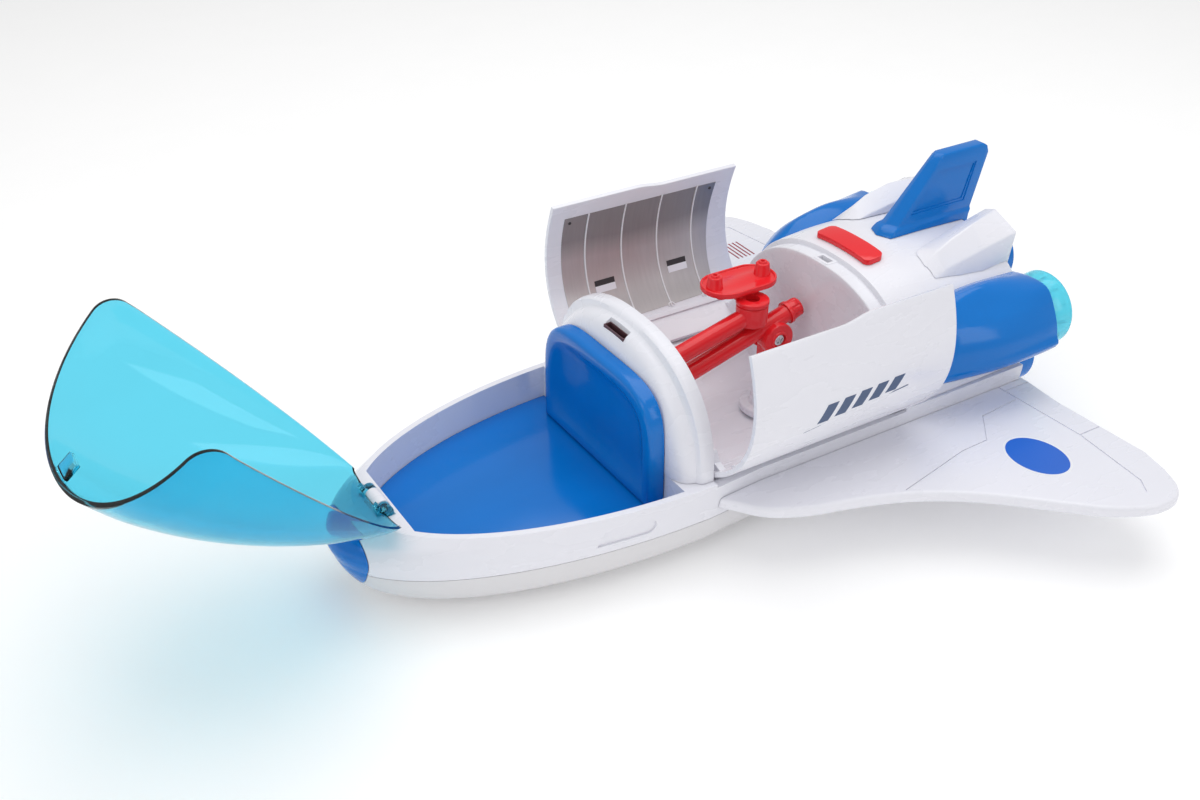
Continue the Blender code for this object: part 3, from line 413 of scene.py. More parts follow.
def rod(start, end, radius, end_radius=None, sides=48):
    """Round bar between two points."""
    start, end = Vector(start), Vector(end)
    bm = bmesh.new()
    bmesh.ops.create_cone(bm, cap_ends=True, segments=sides, radius1=radius,
                          radius2=radius if end_radius is None else end_radius,
                          depth=(end - start).length)
    place = Matrix.Translation((start + end) / 2) @ turn_from_up(end - start)
    bmesh.ops.transform(bm, matrix=place, verts=bm.verts)
    return bm


def cross_rod(half, radius, sides=48, y=0.0, z=0.0, middle=0.0):
    """Round bar across the toy, half to each side of its middle."""
    return rod((middle - half, y, z), (middle + half, y, z), radius, sides=sides)


def prism(outline, low, high, axis="Z", mark=0):
    """Flat outline pushed along one axis; the outline holds the other two values."""
    def place(a, b, c):
        return {"Z": (a, b, c), "Y": (a, c, b), "X": (c, a, b)}[axis]
    return loft([[place(a, b, level) for a, b in outline] for level in (low, high)], mark)


def turned(profile, place, axis_turn=-90.0, steps=64):
    """Profile of radius and height turned about an axis, then laid along the hull."""
    bm = bmesh.new()
    rings = []
    for radius, height in profile:
        angles = [2 * pi * i / steps for i in range(steps)] if radius else [0.0]
        rings.append([bm.verts.new((radius * cos(a), radius * sin(a), height)) for a in angles])
    for a, b in zip(rings, rings[1:]):
        for i in range(steps):
            j = (i + 1) % steps
            corners = [a[i % len(a)], a[j % len(a)], b[j % len(b)], b[i % len(b)]]
            bm.faces.new(list(dict.fromkeys(corners)))
    turn = Matrix.Rotation(radians(axis_turn), 4, "X")
    bmesh.ops.transform(bm, matrix=Matrix.Translation(Vector(place)) @ turn, verts=bm.verts)
    return bm


def work_object(mesh, slots):
    for _ in range(slots):
        mesh.materials.append(None)
    obj = bpy.data.objects.new("work", mesh)
    bpy.context.scene.collection.objects.link(obj)
    return obj


def solid(bm, slots=1):
    """Working object of a mesh in millimetres, not yet a piece."""
    bmesh.ops.recalc_face_normals(bm, faces=bm.faces)
    mesh = bpy.data.meshes.new("work")
    bm.to_mesh(mesh)
    bm.free()
    return work_object(mesh, slots)


def bake(obj):
    """Replace an object's mesh by what its modifiers make of it."""
    bpy.context.view_layer.update()
    made = obj.evaluated_get(bpy.context.evaluated_depsgraph_get())
    mesh = bpy.data.meshes.new_from_object(made)
    obj.modifiers.clear()
    obj.data = mesh
    return obj


def combine(obj, other, operation):
    """Boolean of two working objects; the second one is used up."""
    modifier = obj.modifiers.new(operation, "BOOLEAN")
    modifier.operation = operation
    modifier.solver = "EXACT"
    modifier.object = other
    bake(obj)
    bpy.data.objects.remove(other, do_unlink=True)


def cut(obj, *meshes):
    for bm in meshes:
        combine(obj, solid(bm, 2), "DIFFERENCE")


def weld(obj, *meshes):
    for bm in meshes:
        combine(obj, solid(bm, 2), "UNION")


def round_edges(obj, width, segments=3, angle=35.0):
    """Dissolve flat joins, then round the edges that are left sharp."""
    bm = bmesh.new()
    bm.from_mesh(obj.data)
    bmesh.ops.remove_doubles(bm, verts=bm.verts, dist=0.002)
    bmesh.ops.dissolve_limit(bm, angle_limit=radians(0.5), verts=bm.verts, edges=bm.edges,
                             delimit={"MATERIAL"})
    bm.to_mesh(obj.data)
    bm.free()
    modifier = obj.modifiers.new("rounded", "BEVEL")
    modifier.width = width
    modifier.segments = segments
    modifier.limit_method = "ANGLE"
    modifier.angle_limit = radians(angle)
    modifier.use_clamp_overlap = True
    bake(obj)


def piece(obj, name, body, finishes, nodes=(), pivot=None, smooth=30.0):
    """Finish a working object: metres, rest place, smooth faces, materials and its body."""
    mesh = obj.data
    mesh.transform(Matrix.Scale(MM, 4) @ Matrix.Translation(DATUM) @ (pivot or Matrix()))
    mesh.materials.clear()
    for finish in finishes.split():
        mesh.materials.append(finish_named(finish))
    mesh.shade_smooth()
    mesh.set_sharp_from_angle(angle=radians(smooth))
    obj.name = mesh.name = name
    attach(obj, body)
    if nodes:
        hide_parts(*nodes)


def fixed(obj, name, finish, node=None, smooth=30.0):
    """Piece that stays with the toy's body."""
    piece(obj, name, "shuttle_body", finish, [node] if node else (), smooth=smooth)


def merged(*objs):
    """Join working objects without welding their surfaces."""
    bm = bmesh.new()
    for obj in objs:
        bm.from_mesh(obj.data)
    mesh = bpy.data.meshes.new("work")
    bm.to_mesh(mesh)
    bm.free()
    slots = max(len(obj.data.materials) for obj in objs)
    for obj in objs:
        bpy.data.objects.remove(obj, do_unlink=True)
    return work_object(mesh, slots)


def spline(points, steps):
    """Catmull-Rom line through points, which are tuples of any length."""
    ends = [points[0]] + list(points) + [points[-1]]
    line = []
    for a, b, c, d in zip(ends, ends[1:], ends[2:], ends[3:]):
        for i in range(steps):
            t = i / steps
            line.append(tuple(
                0.5 * (2 * q + (r - p) * t + (2 * p - 5 * q + 4 * r - s) * t * t
                       + (3 * q - p - 3 * r + s) * t ** 3)
                for p, q, r, s in zip(a, b, c, d)))
    line.append(tuple(points[-1]))
    return line


def pivot_turn(centre, angle=0.0, axis="X"):
    return Matrix.Translation(Vector(centre)) @ Matrix.Rotation(radians(angle), 4, axis)


def arc(centre, radii, start, stop, steps):
    """Points of an ellipse's arc; the angles are in half turns."""
    angles = [pi * (start + (stop - start) * i / steps) for i in range(steps + 1)]
    return [(centre[0] + radii[0] * cos(a), centre[1] + radii[1] * sin(a)) for a in angles]


# Shapes shared by several pieces

def hull_outline(half_width, reach, height, points=120):
    """Plan of the hull at one height: straight sides and a round nose."""
    straight = half_width - SIDE_TAPER
    ring = [(straight, HULL_REAR, height), (straight, SIDE_TAPER_LENGTH, height)]
    for i in range(points + 1):
        angle = pi * i / points
        ring.append((half_width * cos(angle), -reach * sin(angle), height))
    return ring + [(-straight, SIDE_TAPER_LENGTH, height), (-straight, HULL_REAR, height)]


def hull_solid(*level_lists, grow=0.0):
    levels = [level for levels in level_lists for level in spline(levels, 4)]
    return loft([hull_outline(width + grow, reach + grow, z) for z, width, reach in levels])


def keep_side(bm, plane_y, keep_front):
    """Cut a closed mesh at a plane across the hull and close it again."""
    bmesh.ops.bisect_plane(bm, geom=bm.verts[:] + bm.edges[:] + bm.faces[:], clear_outer=True,
                           plane_co=(0, plane_y, 0), plane_no=(0, 1 if keep_front else -1, 0))
    bmesh.ops.holes_fill(bm, edges=[edge for edge in bm.edges if edge.is_boundary], sides=0)
    return bm


def cockpit_outline(inset, steps=40):
    """Plan of the cockpit inside the hull's wall, open to a straight front and rear."""
    half_width = RIM_HALF_WIDTH - inset
    reach = RIM_REACH - inset
    ends = []
    for y in (COCKPIT_REAR - inset + WALL, COCKPIT_FRONT + inset - WALL):
        share = -y / reach
        ends.append(atan2(share, sqrt(1 - share ** 2)))
    start, end = ends
    side = []
    for i in range(steps + 1):
        angle = start + (end - start) * i / steps
        side.append((half_width * cos(angle), -reach * sin(angle)))
    return side + [(-x, y) for x, y in reversed(side)]


def curve_power(value, power):
    return abs(value) ** (2 / power) * (1 if value >= 0 else -1)


def arch_ring(y, width, height, base=ARCH_BASE, points=96, power=ARCH_POWER):
    """Flat-footed arch across the toy."""
    ring = []
    for i in range(points + 1):
        angle = pi * i / points
        ring.append((width * curve_power(cos(angle), power), y,
                     base + (height - base) * curve_power(sin(angle), power)))
    return ring


def deck_solid(grow):
    """The deck's skin, grown all round, to cut or keep what stands on it."""
    rings = [arch_ring(y, w + grow, h + grow) for y, w, h in spline(DECK_SECTIONS, 3)]
    y, w, h = DECK_SECTIONS[-1]
    rings.append(arch_ring(y + grow, w + grow, h + grow))
    return loft(rings + [arch_ring(y + grow + 0.1, 1.0, 6.0)])


def at_door_axes(start, end, radius):
    """Bars along both doors' axes, from one place to another."""
    return [rod((side * DOOR_AXIS_X, start, DOOR_AXIS_Z), (side * DOOR_AXIS_X, end, DOOR_AXIS_Z),
                radius) for _, side in SIDES]


def door_swings():
    """Room that the doors' lower edges need in the rear rebate."""
    return at_door_axes(BAY_REAR - 0.1, REBATE_REAR - 0.13, DOOR_SWING)


def tub_profile(grow, points=64, power=3.0):
    angles = [pi * i / points for i in range(points + 1)]
    return [((TUB_HALF_WIDTH + grow) * curve_power(cos(a), power),
             TUB_TOP - (TUB_DEPTH + grow) * curve_power(sin(a), power)) for a in angles]


def tub_solid(grow, front, rear, top=10):
    profile = tub_profile(grow)
    return prism([(profile[0][0], top)] + profile + [(profile[-1][0], top)], front, rear, "Y")


def rounded_outline(x, y, half_x, half_y, radius, steps=8):
    """Rectangle with rounded corners round a centre."""
    outline = []
    for quarter, (sx, sy) in enumerate(((1, 1), (-1, 1), (-1, -1), (1, -1))):
        centre = (x + sx * (half_x - radius), y + sy * (half_y - radius))
        outline += arc(centre, (radius, radius), quarter / 2, quarter / 2 + 0.5, steps)
    return outline


def strip_outline(start, end, width):
    """Narrow strip along a line, a little longer than it."""
    start, end = Vector(start), Vector(end)
    along = (end - start).normalized() * width / 2
    across = Vector((-along.y, along.x))
    start, end = start - along, end + along
    return [tuple(p) for p in (start + across, end + across, end - across, start - across)]


def slot_shade_lining(y, half_x, half_y, bottom, top, wall):
    """Thin dark box that lines a catch slot: painted shade inside the slot."""
    shade_lining = solid(box((-half_x, y - half_y, bottom), (half_x, y + half_y, top)))
    cut(shade_lining, box((wall - half_x, y - half_y + wall, bottom + SHADE_LINING_FLOOR),
                    (half_x - wall, y + half_y - wall, 60.0)))
    return shade_lining


def repeat_tree():
    """Geometry nodes that copy a shape along a step and a turn, then make it one mesh."""
    name = "shuttle_repeat"
    if name in bpy.data.node_groups:
        return bpy.data.node_groups[name]
    tree = bpy.data.node_groups.new(name, "GeometryNodeTree")
    for label, kind in (("Shape", "Geometry"), ("Count", "Int"), ("Step", "Vector"),
                        ("Turn", "Vector"), ("Finish", "Material")):
        tree.interface.new_socket(label, in_out="INPUT", socket_type="NodeSocket" + kind)
    tree.interface.new_socket("Shape", in_out="OUTPUT", socket_type="NodeSocketGeometry")
    given, result, line, index, shift, copies, real, paint = [tree.nodes.new(kind) for kind in (
        "NodeGroupInput", "NodeGroupOutput", "GeometryNodeMeshLine", "GeometryNodeInputIndex",
        "GeometryNodeSetPosition", "GeometryNodeInstanceOnPoints",
        "GeometryNodeRealizeInstances", "GeometryNodeSetMaterial")]
    line.mode = "OFFSET"
    line.inputs["Offset"].default_value = (0, 0, 0)

    def times_index(label):
        node = tree.nodes.new("ShaderNodeVectorMath")
        node.operation = "SCALE"
        tree.links.new(given.outputs[label], node.inputs[0])
        tree.links.new(index.outputs[0], node.inputs["Scale"])
        return node.outputs[0]

    for source, target in (
            (given.outputs["Count"], line.inputs["Count"]),
            (line.outputs[0], shift.inputs["Geometry"]),
            (times_index("Step"), shift.inputs["Offset"]),
            (shift.outputs[0], copies.inputs["Points"]),
            (given.outputs["Shape"], copies.inputs["Instance"]),
            (times_index("Turn"), copies.inputs["Rotation"]),
            (copies.outputs[0], real.inputs[0]),
            (real.outputs[0], paint.inputs["Geometry"]),
            (given.outputs["Finish"], paint.inputs["Material"]),
            (paint.outputs[0], result.inputs[0])):
        tree.links.new(source, target)
    return tree


def repeated(obj, count, finish=None, step=(0, 0, 0), turn=(0, 0, 0)):
    """Copies of a working object, made by the repeat tree and baked."""
    tree = repeat_tree()
    modifier = obj.modifiers.new("repeat", "NODES")
    modifier.node_group = tree
    names = {item.name: item.identifier for item in tree.interface.items_tree
             if item.in_out == "INPUT"}
    modifier[names["Count"]] = count
    modifier[names["Step"]] = [float(v) for v in step]
    modifier[names["Turn"]] = [radians(v) for v in turn]
    modifier[names["Finish"]] = finish_named(finish) if finish else None
    return bake(obj)


# Materials

def give(tree, socket, value):
    """Set a socket, or link it where the value is another node's output."""
    if isinstance(value, bpy.types.NodeSocket):
        tree.links.new(value, socket)
    else:
        socket.default_value = value


def object_place(tree):
    return tree.nodes.new("ShaderNodeTexCoord").outputs["Object"]


def noise(tree, source, scale, detail=2.0, stretch=None):
    node = tree.nodes.new("ShaderNodeTexNoise")
    node.inputs["Scale"].default_value = scale
    node.inputs["Detail"].default_value = detail
    if stretch:
        mapping = tree.nodes.new("ShaderNodeMapping")
        mapping.inputs["Scale"].default_value = stretch
        tree.links.new(source, mapping.inputs["Vector"])
        source = mapping.outputs[0]
    tree.links.new(source, node.inputs["Vector"])
    return node.outputs["Fac"]


def spread(tree, source, low, high, start=0.3, stop=0.7):
    """Map a varying value from start..stop to low..high."""
    node = tree.nodes.new("ShaderNodeMapRange")
    for label, value in (("Value", source), ("From Min", start), ("From Max", stop),
                         ("To Min", low), ("To Max", high)):
        give(tree, node.inputs[label], value)
    return node.outputs["Result"]


def computed(tree, operation, *values):
    node = tree.nodes.new("ShaderNodeMath")
    node.operation = operation
    for socket, value in zip(node.inputs, values):
        give(tree, socket, value)
    return node.outputs[0]


def tinted(tree, colour, factor):
    """Colour times a varying brightness."""
    node = tree.nodes.new("ShaderNodeMix")
    node.data_type = "RGBA"
    node.blend_type = "MULTIPLY"
    node.inputs[0].default_value = 1.0
    give(tree, node.inputs["A"], colour)
    give(tree, node.inputs["B"], factor)
    return node.outputs["Result"]


def moulded_group():
    """Faint flow marks, uneven gloss and orange peel of moulded plastic."""
    name = "moulded_skin"
    if name in bpy.data.node_groups:
        return bpy.data.node_groups[name]
    tree = bpy.data.node_groups.new(name, "ShaderNodeTree")
    for label, kind in (("Colour", "Color"), ("Gloss", "Float"), ("Mottle", "Float"),
                        ("Peel", "Float")):
        tree.interface.new_socket(label, in_out="INPUT", socket_type="NodeSocket" + kind)
    for label, kind in (("Colour", "Color"), ("Roughness", "Float"), ("Height", "Float")):
        tree.interface.new_socket(label, in_out="OUTPUT", socket_type="NodeSocket" + kind)
    given = tree.nodes.new("NodeGroupInput").outputs
    result = tree.nodes.new("NodeGroupOutput").inputs
    place = object_place(tree)
    flow = noise(tree, place, 38.0, 4.0, (1.0, 0.45, 1.0))
    shade = spread(tree, flow, computed(tree, "SUBTRACT", 1.0, given["Mottle"]), 1.0)
    tree.links.new(tinted(tree, given["Colour"], shade), result["Colour"])
    smear = noise(tree, place, 90.0, 5.0, (1.0, 0.3, 1.0))
    rubbed = computed(tree, "MULTIPLY", given["Gloss"], 1.2)
    tree.links.new(spread(tree, smear, given["Gloss"], rubbed, 0.4, 0.75), result["Roughness"])
    peel = noise(tree, place, 700.0, 1.0)
    tree.links.new(computed(tree, "MULTIPLY", peel, given["Peel"]), result["Height"])
    return tree


def new_material(name):
    material = bpy.data.materials.new(name)
    material.use_nodes = True
    return material, material.node_tree, material.node_tree.nodes["Principled BSDF"]


def relief(tree, shader, height, strength, distance):
    bump = tree.nodes.new("ShaderNodeBump")
    bump.inputs["Strength"].default_value = strength
    bump.inputs["Distance"].default_value = distance
    tree.links.new(height, bump.inputs["Height"])
    tree.links.new(bump.outputs[0], shader.inputs["Normal"])


def moulded(name, colour, gloss, mottle, peel=0.5, bump=0.02, **sockets):
    """Moulded plastic with its own values of the shared skin."""
    material, tree, shader = new_material(name)
    skin = tree.nodes.new("ShaderNodeGroup")
    skin.node_tree = moulded_group()
    for label, value in (("Colour", (*colour, 1.0)), ("Gloss", gloss), ("Mottle", mottle),
                         ("Peel", peel)):
        skin.inputs[label].default_value = value
    tree.links.new(skin.outputs["Colour"], shader.inputs["Base Color"])
    tree.links.new(skin.outputs["Roughness"], shader.inputs["Roughness"])
    relief(tree, shader, skin.outputs["Height"], bump, 0.0002)
    for label, value in sockets.items():
        shader.inputs[label.replace("_", " ")].default_value = value
    return material


# Name of the material, its colour or the user's colour, gloss, mottle, peel and bump, sockets
FINISHES = {
    "white": ("white_plastic", "white", (0.26, 0.012), {}),
    "belly": ("belly_plastic", "belly", (0.32, 0.02), {}),
    "blue": ("blue_plastic", "blue", (0.14, 0.08), {"Specular_IOR_Level": 0.35}),
    "red": ("red_plastic", "red", (0.11, 0.06), {}),
    "clear": ("clear_cyan", "cyan", (0.045, 0.02, 0.3, 0.01),
              {"Transmission_Weight": 1.0, "IOR": 1.35}),
    "clear_light": ("clear_nozzle", "nozzle", (0.08, 0.02, 0.3, 0.01),
                    {"Transmission_Weight": 0.5, "IOR": 1.4}),
    "rim": ("clear_rim", "rim", (0.12, 0.05), {}),
    "tyre": ("tyre_plastic", "tyre", (0.5, 0.1, 1.0, 0.2), {}),
    "mark": ("printed_mark", "mark", (0.4, 0.06), {}),
    "mark_red": ("printed_red", (0.30, 0.008, 0.03), (0.4, 0.06), {}),
    "mark_blue": ("printed_blue", (0.012, 0.13, 0.62), (0.35, 0.06), {}),
    "mark_white": ("printed_white", (0.85, 0.85, 0.88), (0.35, 0.03), {}),
    "shadow": ("slot_shadow", (0.035, 0.03, 0.035), (0.6, 0.1), {}),
    # painted shade: the dark brown that lines the catch slots
    "slot": ("catch_slot_shade", (0.11, 0.045, 0.055), (0.5, 0.1), {}),
    "chrome": ("screw_steel", (0.72, 0.72, 0.72), (0.12, 0.1, 1.0, 0.05), {"Metallic": 1.0}),
    "paper": ("studio_paper", (0.93, 0.93, 0.93), (0.7, 0.01),
              {"Emission_Color": (1, 1, 1, 1), "Emission_Strength": FLOOR_GLOW}),
}


def finish_named(finish):
    """Material of one of the toy's plastics, prints or metals, made once."""
    if finish == "silver":
        return bpy.data.materials.get("door_foil") or silver_foil("door_foil")
    name, colour, values, sockets = FINISHES[finish]
    if isinstance(colour, str):
        colour = getattr(bpy.context.scene.shuttle_colours, colour)
    return bpy.data.materials.get(name) or moulded(name, colour, *values, **sockets)


def silver_foil(name):
    """Brushed foil with faint waves and rubbed patches, and a painted reflection: lighter low down
    and darker above an uneven height.
    """
    material, tree, shader = new_material(name)
    place = object_place(tree)
    split = tree.nodes.new("ShaderNodeSeparateXYZ")
    tree.links.new(place, split.inputs[0])
    # painted reflection: the height, shifted a little by noise, sets where the foil turns from
    # light to dark
    reflection_level = computed(tree, "MULTIPLY_ADD", noise(tree, place, 16.0, 1.0), FOIL_REFLECTION_WAVE,
                    split.outputs["Z"])
    colour = (*bpy.context.scene.shuttle_colours.silver, 1.0)
    base = tinted(tree, colour, spread(tree, reflection_level, 1.3, 0.78, *FOIL_REFLECTION_EDGE))
    streaks = spread(tree, noise(tree, place, 60.0, 3.0, (1.0, 12.0, 1.0)), 0.96, 1.03)
    tree.links.new(tinted(tree, base, streaks), shader.inputs["Base Color"])
    patches = spread(tree, noise(tree, place, 55.0, 2.0), 0.34, 0.46)
    tree.links.new(patches, shader.inputs["Roughness"])
    shader.inputs["Metallic"].default_value = 0.55
    relief(tree, shader, noise(tree, place, 28.0, 1.0), 0.08, 0.0015)
    return material


# Hull and cockpit

def make_hull(edge):
    upper = solid(keep_side(hull_solid(UPPER_LEVELS), NOSE_CAP_Y, False))
    inner = RIM_HALF_WIDTH - SIDE_TAPER - WALL
    wide = RIM_HALF_WIDTH + 5
    ears = EAR_OUT + GAP
    cut(upper, prism(cockpit_outline(WALL), -20, 10),
        box((-inner, 0, -20), (inner, BAY_REAR, 10)),
        box((-wide, 0, BAY_SILL), (wide, REBATE_REAR, 10)),
        box((-ears, POCKET_FRONT, POCKET_FLOOR), (ears, POCKET_REAR, 10)),
        *door_swings())
    front, rear, low, high = SIDE_PANEL
    radius = (high - low) / 2
    outline = [(front, low)]
    outline += arc((rear - radius, low + radius), (radius, radius), -0.5, 0.5, 12)
    outline += [(front + 3.0, high)]
    for _, side in SIDES:
        tool = solid(prism(outline, side * 45, side * 70, "X"), 2)
        cut(tool, hull_solid(UPPER_LEVELS, grow=-SIDE_PANEL_DEPTH))
        combine(upper, tool, "DIFFERENCE")
    round_edges(upper, edge)
    fixed(upper, "hull_shell", "white", "hull_upper")


def wheel_well(x, y, half_width):
    reach = WHEEL_RADIUS + 1.5
    return box((x - half_width, y - reach, -40), (x + half_width, y + reach, AXLE_Z + 7.6))


def make_belly(edge):
    belly = solid(keep_side(hull_solid(BELLY_LEVELS), NOSE_CAP_Y, False))
    cut(belly, tub_solid(TUB_WALL + GAP, 0.0, BAY_REAR))
    for _, side in SIDES:
        cut(belly, wheel_well(side * MAIN_WHEEL_X, MAIN_WHEEL_Y, WHEEL_WIDTH / 2 + 1.5))
    cut(belly, wheel_well(0, NOSE_WHEEL_Y, 9.5))
    hatch_line = solid(prism(rounded_outline(0, HATCH_Y, 27, 30, 4), -34, -32.2))
    cut(hatch_line, prism(rounded_outline(0, HATCH_Y, 26.4, 29.4, 3.5), -35, -31))
    combine(belly, hatch_line, "DIFFERENCE")
    for x, y in SCREW_PLACES:
        cut(belly, *[rod((side * x, y, -34), (side * x, y, -29.6), 3.0, sides=32)
                     for _, side in SIDES])
    round_edges(belly, edge)
    fixed(belly, "belly_shell", "belly", "belly")


def cross_screw(radius, height, depth=0.8):
    """Domed screw head with a cross recess, its seat at the origin and facing up."""
    dome = [(0.0, 0.0), (radius, 0.0)]
    for i in range(8):
        angle = pi / 2 * i / 8
        dome.append((radius * cos(angle), height * (0.35 + 0.65 * sin(angle))))
    head = solid(turned(dome + [(0.0, height)], (0, 0, 0), 0.0, 40))
    long, short = radius * 0.62, radius * 0.15
    for turn in (0, pi / 2):
        slot = box((-long, -short, height - depth), (long, short, height + 1))
        bmesh.ops.rotate(slot, matrix=Matrix.Rotation(turn, 3, "Z"), verts=slot.verts)
        cut(head, slot)
    return head


def make_belly_screws():
    heads = []
    for x, y in SCREW_PLACES:
        head = cross_screw(2.4, 1.2)
        head.data.transform(Matrix.Translation((x, y, -29.5)) @ Matrix.Rotation(pi, 4, "X"))
        heads.append(repeated(head, 2, "chrome", (-2 * x, 0, 0)))
    fixed(merged(*heads), "belly_screws", "chrome")


def make_nose_cap(edge):
    levels = hull_solid(BELLY_LEVELS, UPPER_LEVELS)
    nose = solid(keep_side(levels, NOSE_CAP_Y - GAP, True))
    round_edges(nose, edge)
    fixed(nose, "nose_cap_shell", "blue", "nose_cap")


def seat_row(inset, y, points=72):
    """Outline of the seat back: straight sides under a squarely rounded top."""
    foot = COCKPIT_FLOOR_TOP + GAP + inset * 0.7
    half_width = SEAT_HALF_WIDTH - inset
    row = []
    for i in range(points + 1):
        across, up = (curve_power(value, 2 / SEAT_ROUNDNESS)
                      for value in (cos(pi * i / points), sin(pi * i / points)))
        row.append((half_width * across, y, max(foot, (SEAT_HEIGHT - inset) * abs(up))))
    row[0], row[-1] = (half_width, y, foot), (-half_width, y, foot)
    return row


def make_cockpit():
    floor = solid(prism(cockpit_outline(WALL + GAP), -14.7, COCKPIT_FLOOR_TOP))
    round_edges(floor, 0.3)
    fixed(floor, "cockpit_floor_tray", "blue", "cockpit_floor")
    seat = solid(loft([seat_row(inset, y) for inset, y in SEAT_ROWS]))
    fixed(seat, "seat_shell", "blue", "seat_back", smooth=50)


# Cargo bay

def make_arch():
    rings = []
    for i, (y, w, h) in enumerate(ARCH_ROWS):
        power = ARCH_POWER if i < ARCH_FULL_ROWS else CANOPY_POWER
        rings.append(arch_ring(y, ARCH_WIDTH + w, ARCH_HEIGHT + h, power=power))
    arch = solid(loft(rings))
    cut(arch, box((-7.6, -12.4, 42.0), (7.6, -8.6, 62.0)), *at_door_axes(-5, 1, DOOR_PIN_HOLE))
    round_edges(arch, 0.45, angle=50)
    fixed(arch, "front_arch_shell", "white", "front_arch")
    # dark lining of painted shade inside the catch slot
    shade_lining = slot_shade_lining(-10.5, 7.55, 1.85, 42.05, 49.4, 0.45)
    fixed(shade_lining, "arch_slot_lining", "slot")


def make_tub():
    flange = RIM_HALF_WIDTH - SIDE_TAPER - WALL - GAP
    low = TUB_TOP - FLANGE
    outline = [(flange, TUB_TOP), (flange, low)]
    outline += [(x, z) for x, z in tub_profile(TUB_WALL) if z < low]
    outline += [(-flange, low), (-flange, TUB_TOP)]
    tub = solid(prism(outline, GAP, BAY_REAR - GAP, "Y"))
    cut(tub, tub_solid(0.0, GAP + 2.0, BAY_REAR - GAP - 2.0))
    round_edges(tub, 0.8)
    fixed(tub, "bay_liner", "white", "bay_tub")


def make_deck():
    rings = []
    for y, w, h in DECK_LIP:
        base = ARCH_BASE + max(0.0, -w - DISH_EDGE) * DISH_SLOPE
        rings.append(arch_ring(y, ARCH_WIDTH + w, ARCH_HEIGHT + h, base))
    rings += [arch_ring(y, w, h) for y, w, h in spline(DECK_SECTIONS, 3)[2:]]
    deck = solid(loft(rings))
    border = solid(box((-5.0, BAY_REAR + 0.8, 49.0), (5.0, REBATE_REAR + 0.5, 53.2)))
    round_edges(border, 0.6)
    combine(deck, border, "UNION")
    cut(deck, box((-3.6, BAY_REAR + 2.3, 44.0), (3.6, BAY_REAR + 5.6, 60.0)),
        *door_swings(), *at_door_axes(BAY_REAR - 1, REBATE_REAR + 5, DOOR_PIN_HOLE))
    round_edges(deck, 0.4, angle=50)
    fixed(deck, "aft_deck_shell", "white", "aft_deck")
    # dark lining of painted shade inside the catch slot
    shade_lining = slot_shade_lining(BAY_REAR + 3.95, 3.55, 1.6, 44.05, 50.6, 0.35)
    fixed(shade_lining, "deck_slot_lining", "slot")


# Wings

def wing_block(outline, side, low, high):
    """Flat outline between two heights over the wing's slope."""
    return loft([[(side * x, y, base + WING_RISE * (x - WING_ROOT)) for x, y in outline]
                 for base in (low, high)])


def make_wing(tag, side, sizes):
    outer = spline(WING_OUTLINE[:WING_CURVED], 5) + WING_OUTLINE[WING_CURVED:]
    outline = [(WING_ROOT, WING_START)] + outer + [(WING_ROOT, WING_OUTLINE[-1][1])]
    wing = solid(wing_block(outline, side, WING_UNDER, WING_TOP))
    round_edges(wing, 1.6, 5)
    width, depth = sizes.groove_width / MM, sizes.groove_depth / MM
    elevons = list(zip(ELEVON_LINE, ELEVON_LINE[1:])) + ELEVON_SPLITS
    for i, (start, end) in enumerate(elevons + list(zip(PANEL_LINE, PANEL_LINE[1:]))):
        strip = strip_outline(start, end, width if i < len(elevons) else width * PANEL_SHARE)
        # a step in depth keeps the floors of crossing grooves out of one plane
        bottom = WING_TOP - depth - 0.013 * i
        cut(wing, wing_block(strip, side, bottom, WING_TOP + 2.0))
    cut(wing, hull_solid(UPPER_LEVELS, grow=GAP))
    fixed(wing, "wing_shell_" + tag, "white", "wing_" + tag)


def make_wing_prints(tag, sizes):
    """Disc on the port wing, and stripes on the starboard one, just over the skin."""
    height = sizes.print_height / MM
    low = WING_TOP - 0.02
    if tag == "starboard":
        stripe = solid(wing_block(STRIPE, -1, low, WING_TOP + height))
        stripes = repeated(stripe, sizes.stripe_count, "mark_red", (0, STRIPE_STEP, 0))
        fixed(stripes, "wing_stripes", "mark_red")
        return
    for name, scale, lift, finish in (("wing_disc_ring", 1.0, 1.0, "mark_white"),
                                      ("wing_disc", DISC_RING, 1.5, "mark_blue")):
        ring = arc(DISC_PLACE, [radius * scale for radius in DISC_RADII], 0, 2, 96)[:-1]
        fixed(solid(wing_block(ring, 1, low, WING_TOP + height * lift)), name, finish)


# Boosters and tail

def booster_ring(side, section):
    """Booster outline at one place: round crown, crisp crease, round side and flat foot."""
    y, *points = section
    deck_x, deck_z = points[0]
    low, high = BOOSTER_INNER
    inner = [(low[0], max(low[1], points[8][1])), high]
    inner = [(min(x, deck_x), min(z, deck_z - 1.0)) for x, z in inner]
    line = spline(points[0:4], 4)[:-1] + spline(points[3:8], 4) + [points[8]] + inner
    return [(side * x, y, z) for x, z in line]


def smooth_sections(sections, steps):
    """Rows of y and points, refined along the length."""
    flat = [(row[0], *[value for point in row[1:] for value in point]) for row in sections]
    for y, *values in spline(flat, steps):
        yield (y, *zip(values[0::2], values[1::2]))


